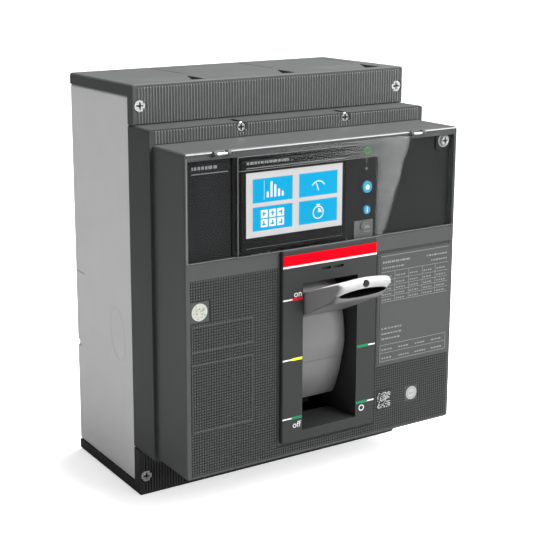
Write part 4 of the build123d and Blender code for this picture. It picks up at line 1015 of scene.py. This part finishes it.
def lever_section(x):
    """The lever's outline at one station across it: (depth, height) points, from the root round to the root."""
    across = abs(x) / LEVER_HALF_WIDTH
    crown = 1 - across ** 2
    mouth = math.sqrt(max(0.0, 1 - (x / MOUTH_HALF_WIDTH) ** 2))
    turn = max(0.0, (across - CORNER_START) / (1 - CORNER_START))
    inset = CORNER_INSET * (1 - math.sqrt(max(0.0, 1 - turn ** 2)))

    def opened(*point):
        """A point of the mouth, which closes towards the lever's sides."""
        depth, height = (middle + (wide - middle) * mouth for middle, wide in zip(MOUTH_MIDDLE, point))
        return depth - inset, height

    return [
        (136.0, -15.0), (143.0, -13.9), (158.0, -6.9 + inset * 0.3), (172.0, 0.2 + inset * 0.5),
        (181.0 - inset * 0.5, 4.3 + inset * 0.6), (183.0 - inset * 0.8, 5.6 + inset * 0.4),
        opened(183.6, 7.2), opened(172.0, 8.0), opened(190.3, 14.4),
        (190.8 - inset, 15.4), (190.8 - inset, 16.9 + 1.6 * crown),
        (189.9 - inset, 18.2 + 1.8 * crown - inset * 0.2),
        (187.4 - inset * 0.5, 18.7 + 1.7 * crown - inset * 0.4), (170.0, 12.5 + 0.8 * crown - inset * 0.3),
        (153.4, 5.5), (146.0, 1.8), (136.0, -6.0),
    ]


def lofted_lever(mesh):
    """Joins the stations into one closed skin: a bar in a painted highlight, a mouth in painted shadow, and a grey
    body with painted shade underneath.
    """
    right = [LEVER_HALF_WIDTH * t for t in LEVER_STATIONS]
    stations = [-x for x in reversed(right[1:])] + right
    loops = [[mesh.verts.new(place(x, d, z)) for d, z in lever_section(x)] for x in stations]
    mesh.faces.new(loops[0])
    mesh.faces.new(loops[-1][::-1])
    count = len(loops[0])
    for near, far in zip(loops, loops[1:]):
        for i in range(count):
            j = (i + 1) % count
            face = mesh.faces.new((near[i], far[i], far[j], near[j]))
            face.material_index = EDGE_FINISHES[i]
            face.smooth = True


handle_mesh = bmesh.new()
lofted_lever(handle_mesh)
OVERLAP, SLIM = 0.5, 0.03
# The guard below SHADE_ANGLE gets painted shade; the slim shell above it is painted near-black, a painted shadow for
# the recess above the lever.
for inner, outer, angles, half_width, steps, finish in (
    (GUARD_INNER, GUARD_OUTER, (GUARD_ANGLES[0], SHADE_ANGLE), GUARD_HALF_WIDTH, 24, SHADE_GREY),
    (GUARD_INNER + SLIM, GUARD_OUTER - SLIM, (SHADE_ANGLE - OVERLAP, GUARD_ANGLES[1]),
     GUARD_HALF_WIDTH - SLIM, 12, SHADOW),
    (GUARD_OUTER - 0.2, GUARD_OUTER + STEP_PROUD, STEP_ANGLES, GUARD_HALF_WIDTH - 0.2, 4, SHADE_GREY),
    (CORE_INNER, GUARD_OUTER - 0.5, CORE_ANGLES, CORE_HALF_WIDTH, 8, SHADE_GREY),
):
    curved_shell(handle_mesh, inner, outer, angles, half_width, steps, finish)
handle_finishes = [handle_grey, bar_highlight_grey, guard_shade_grey, dark_ink_and_shade]
handle = new_piece("operating_handle", handle_mesh, handle_finishes, "handle")
SHARP_FROM = math.radians(32)
handle.data.set_sharp_from_angle(angle=SHARP_FROM)
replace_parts(handle, "handle")

# %% [markdown]
# The padlock hole goes through the middle of the bar. A drilled hole is easiest as a boolean: a round cutter is
# subtracted from the handle, the result is kept as the mesh, and the cutter is thrown away.

# %% Padlock hole
HOLE_X, HOLE_HEIGHT, HOLE_RADIUS, HOLE_START, HOLE_END = -0.8, 17.2, 2.35, 185.5, 193.0
cutter_mesh = bmesh.new()
on_front(cutter_mesh, circle(HOLE_X, HOLE_HEIGHT, HOLE_RADIUS, 32), HOLE_START, HOLE_END)
bmesh.ops.recalc_face_normals(cutter_mesh, faces=cutter_mesh.faces)
cutter_data = bpy.data.meshes.new("hole_cutter")
cutter_mesh.to_mesh(cutter_data)
cutter_data.materials.append(handle_grey)
cutter = stand("hole_cutter", cutter_data)
drill = handle.modifiers.new("drill", "BOOLEAN")
drill.operation = "DIFFERENCE"
drill.solver = "EXACT"
drill.object = cutter
bpy.context.view_layer.update()
result = handle.evaluated_get(bpy.context.evaluated_depsgraph_get())
drilled = bpy.data.meshes.new_from_object(result)
handle.modifiers.clear()
handle.data = drilled
bpy.data.objects.remove(cutter)
print("handle has", len(drilled.polygons), "faces after drilling")

# %% [markdown]
# Small things that finish the outside: the light ring has a dark centre, two faint status signs stand under it,
# and the service port carries a plug sign. Each is one more outline with a thickness.

# %% Ring centre, status signs and port sign
DARK, LIT = 1, 2
DOT_INK = 0.05
led_face, led_x, led_z = centre_of("power_led")
signs = bmesh.new()
on_front(signs, circle(led_x, led_z, 2.2, 24), *printed_on(led_face, DOT_INK), DARK)
band(signs, led_x, led_z, 2.3, 1.5, led_face + 0.02, led_face + 0.12, LIT)
unit_ink = printed_on(node_face("trip_unit_housing")[0], DOT_INK)
for low, high in ((6.6, 4.2), (7.6, 7.0)):
    patch(signs, led_x - 0.3, led_x + 0.3, led_z - low, led_z - high, *unit_ink)
on_front(signs, circle(led_x, led_z - 11.6, 1.0, 4), *unit_ink)
port_ink = printed_on(node_face("port_cover")[0])
on_front(signs, circle(30.9, 39.6, 2.2, 12, 0.0, math.pi), *port_ink)
patch(signs, 28.4, 33.4, 37.2, 37.8, *port_ink)
patch(signs, 11.6, 12.2, 89.0, 91.2, *printed_on(BEZEL_FACE))
new_piece("status_signs", signs, [ink_light, dark_ink_and_shade, ring_green])

# %% [markdown]
# The moulded edges of the clear cover catch thin bright lines of light. Here they are slim strips of light grey let
# into the cover, a painted highlight, so they turn with it when it is lifted.

# %% Painted highlights on the edges of the window cover
STRIP, BRIGHT_STRIP, EDGE_SUNK, HOOK_ROOM = 0.4, 0.7, 0.1, 2.6
cover_low, cover_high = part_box("clear_cover")
cover_left, cover_right = cover_low.x / MM, cover_high.x / MM
cover_bottom, cover_top = cover_low.z / MM, cover_high.z / MM
SHEET_FACE, RAISED_FACE = 152.5, 154.0
sheet_edge = (SHEET_FACE - EDGE_SUNK, SHEET_FACE + 0.02)
raised_edge = (RAISED_FACE - EDGE_SUNK, RAISED_FACE - 0.02)
RAISED_LEFT, RAISED_RIGHT, RAISED_TOP = -68.5, 37.0, 95.0
edge_strips = bmesh.new()
framed(edge_strips, RAISED_LEFT, RAISED_RIGHT, cover_bottom, RAISED_TOP, STRIP, *raised_edge)
patch(edge_strips, RAISED_LEFT, RAISED_RIGHT, 86.2, 86.5, *raised_edge)
for left, right in ((cover_left, RAISED_LEFT), (RAISED_RIGHT, cover_right)):
    patch(edge_strips, left, right, cover_bottom, cover_bottom + STRIP, *sheet_edge)
for left in (cover_left, cover_right - STRIP):
    patch(edge_strips, left, left + STRIP, cover_bottom, cover_top - HOOK_ROOM, *sheet_edge)
for left, right in ((cover_left, -84.9), (-71.9, 61.5), (74.5, cover_right)):
    patch(edge_strips, left, right, cover_top - BRIGHT_STRIP, cover_top, *sheet_edge, 1)
new_piece("cover_edge_highlights", edge_strips, [edge_highlight_grey, edge_highlight_white], "window_cover")

# %% [markdown]
# Every screw head has a star-shaped recess for the driver, and it always looks black because no light gets to its
# bottom. A dark star a hair above each head paints that shade. The screw of the right-hand panel also stands on a
# small round boss that is lighter than the panel.

# %% Screw recesses
STAR_LONG, STAR_SHORT, STAR_RISE, STAR_SUNK = 1.7, 0.8, 0.04, 0.9
HEAD_SUNK, BOSS_OUTER, BOSS_INNER = 0.2, 4.5, 3.3


def star(x, z):
    """An eight-pointed outline: four long arms and four notches between them."""
    turns = [math.pi / 4 * i for i in range(8)]
    reach = [STAR_LONG if i % 2 == 0 else STAR_SHORT for i in range(8)]
    return [(x + r * math.cos(t), z + r * math.sin(t)) for r, t in zip(reach, turns)]


screw_face, panel_x, panel_z = centre_of("panel_screw")
corners = pair(CORNER_X, CORNER_HIGH) + pair(CORNER_X, CORNER_LOW)
heads = [(x, z, LIP_FACE - HEAD_SUNK) for x, z in corners]
heads += [(x, z, MID_FACE - HEAD_SUNK) for x, z in pair(MID_SCREW_X, MID_SCREW_HEIGHT)]
heads.append((panel_x, panel_z, screw_face))
stars = bmesh.new()
for x, z, face in heads:
    on_front(stars, star(x, z), face - STAR_SUNK, face + STAR_RISE)
band(stars, panel_x, panel_z, BOSS_OUTER, BOSS_INNER, *printed_on(PANEL_BOSS_FACE, 0.1), 1)
new_piece("screw_recesses", stars, [dark_ink_and_shade, film_white])

# %% [markdown]
# The side wall of the base has a faint oval, where a cable guide can be broken out. Its line is one more outline,
# walked round a tilted ellipse in short steps, on both sides of the base.

# %% Side ovals
BASE_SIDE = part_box("base_case")[0][0] / MM
OVAL_DEPTH, OVAL_HEIGHT, OVAL_LONG, OVAL_SHORT, OVAL_TILT = 63.4, -31.3, 17.5, 9.6, math.radians(12)
OVAL_LINE, OVAL_PROUD, OVAL_STEPS = 0.45, 0.18, 40


def oval_point(grow, turn):
    """A (depth, height) point on the tilted oval, grown by a margin."""
    short, tall = (OVAL_SHORT + grow) * math.cos(turn), (OVAL_LONG + grow) * math.sin(turn)
    return (
        OVAL_DEPTH + short * math.cos(OVAL_TILT) - tall * math.sin(OVAL_TILT),
        OVAL_HEIGHT + short * math.sin(OVAL_TILT) + tall * math.cos(OVAL_TILT),
    )


oval = bmesh.new()
for i in range(OVAL_STEPS):
    a, b = 2 * math.pi * i / OVAL_STEPS, 2 * math.pi * (i + 1) / OVAL_STEPS
    corners = [oval_point(0, a), oval_point(0, b), oval_point(OVAL_LINE, b), oval_point(OVAL_LINE, a)]
    for side in (-1, 1):
        inner, outer = printed_on(abs(BASE_SIDE), OVAL_PROUD)
        on_side(oval, corners, side * inner, side * outer)
new_piece("side_ovals", oval, [base_grey])

# %% [markdown]
# Last, the box of the dressed model is measured again, and how far each of its corners lies beyond the CAD box is
# printed in millimetres.

# %% Sizes and finish
see_low, see_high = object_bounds()
for corner, seen, cad in (("low", see_low, cad_low), ("high", see_high, cad_high)):
    print(corner, "corner grew by mm:", [round((a - b) / MM, 3) for a, b in zip(seen, cad)])
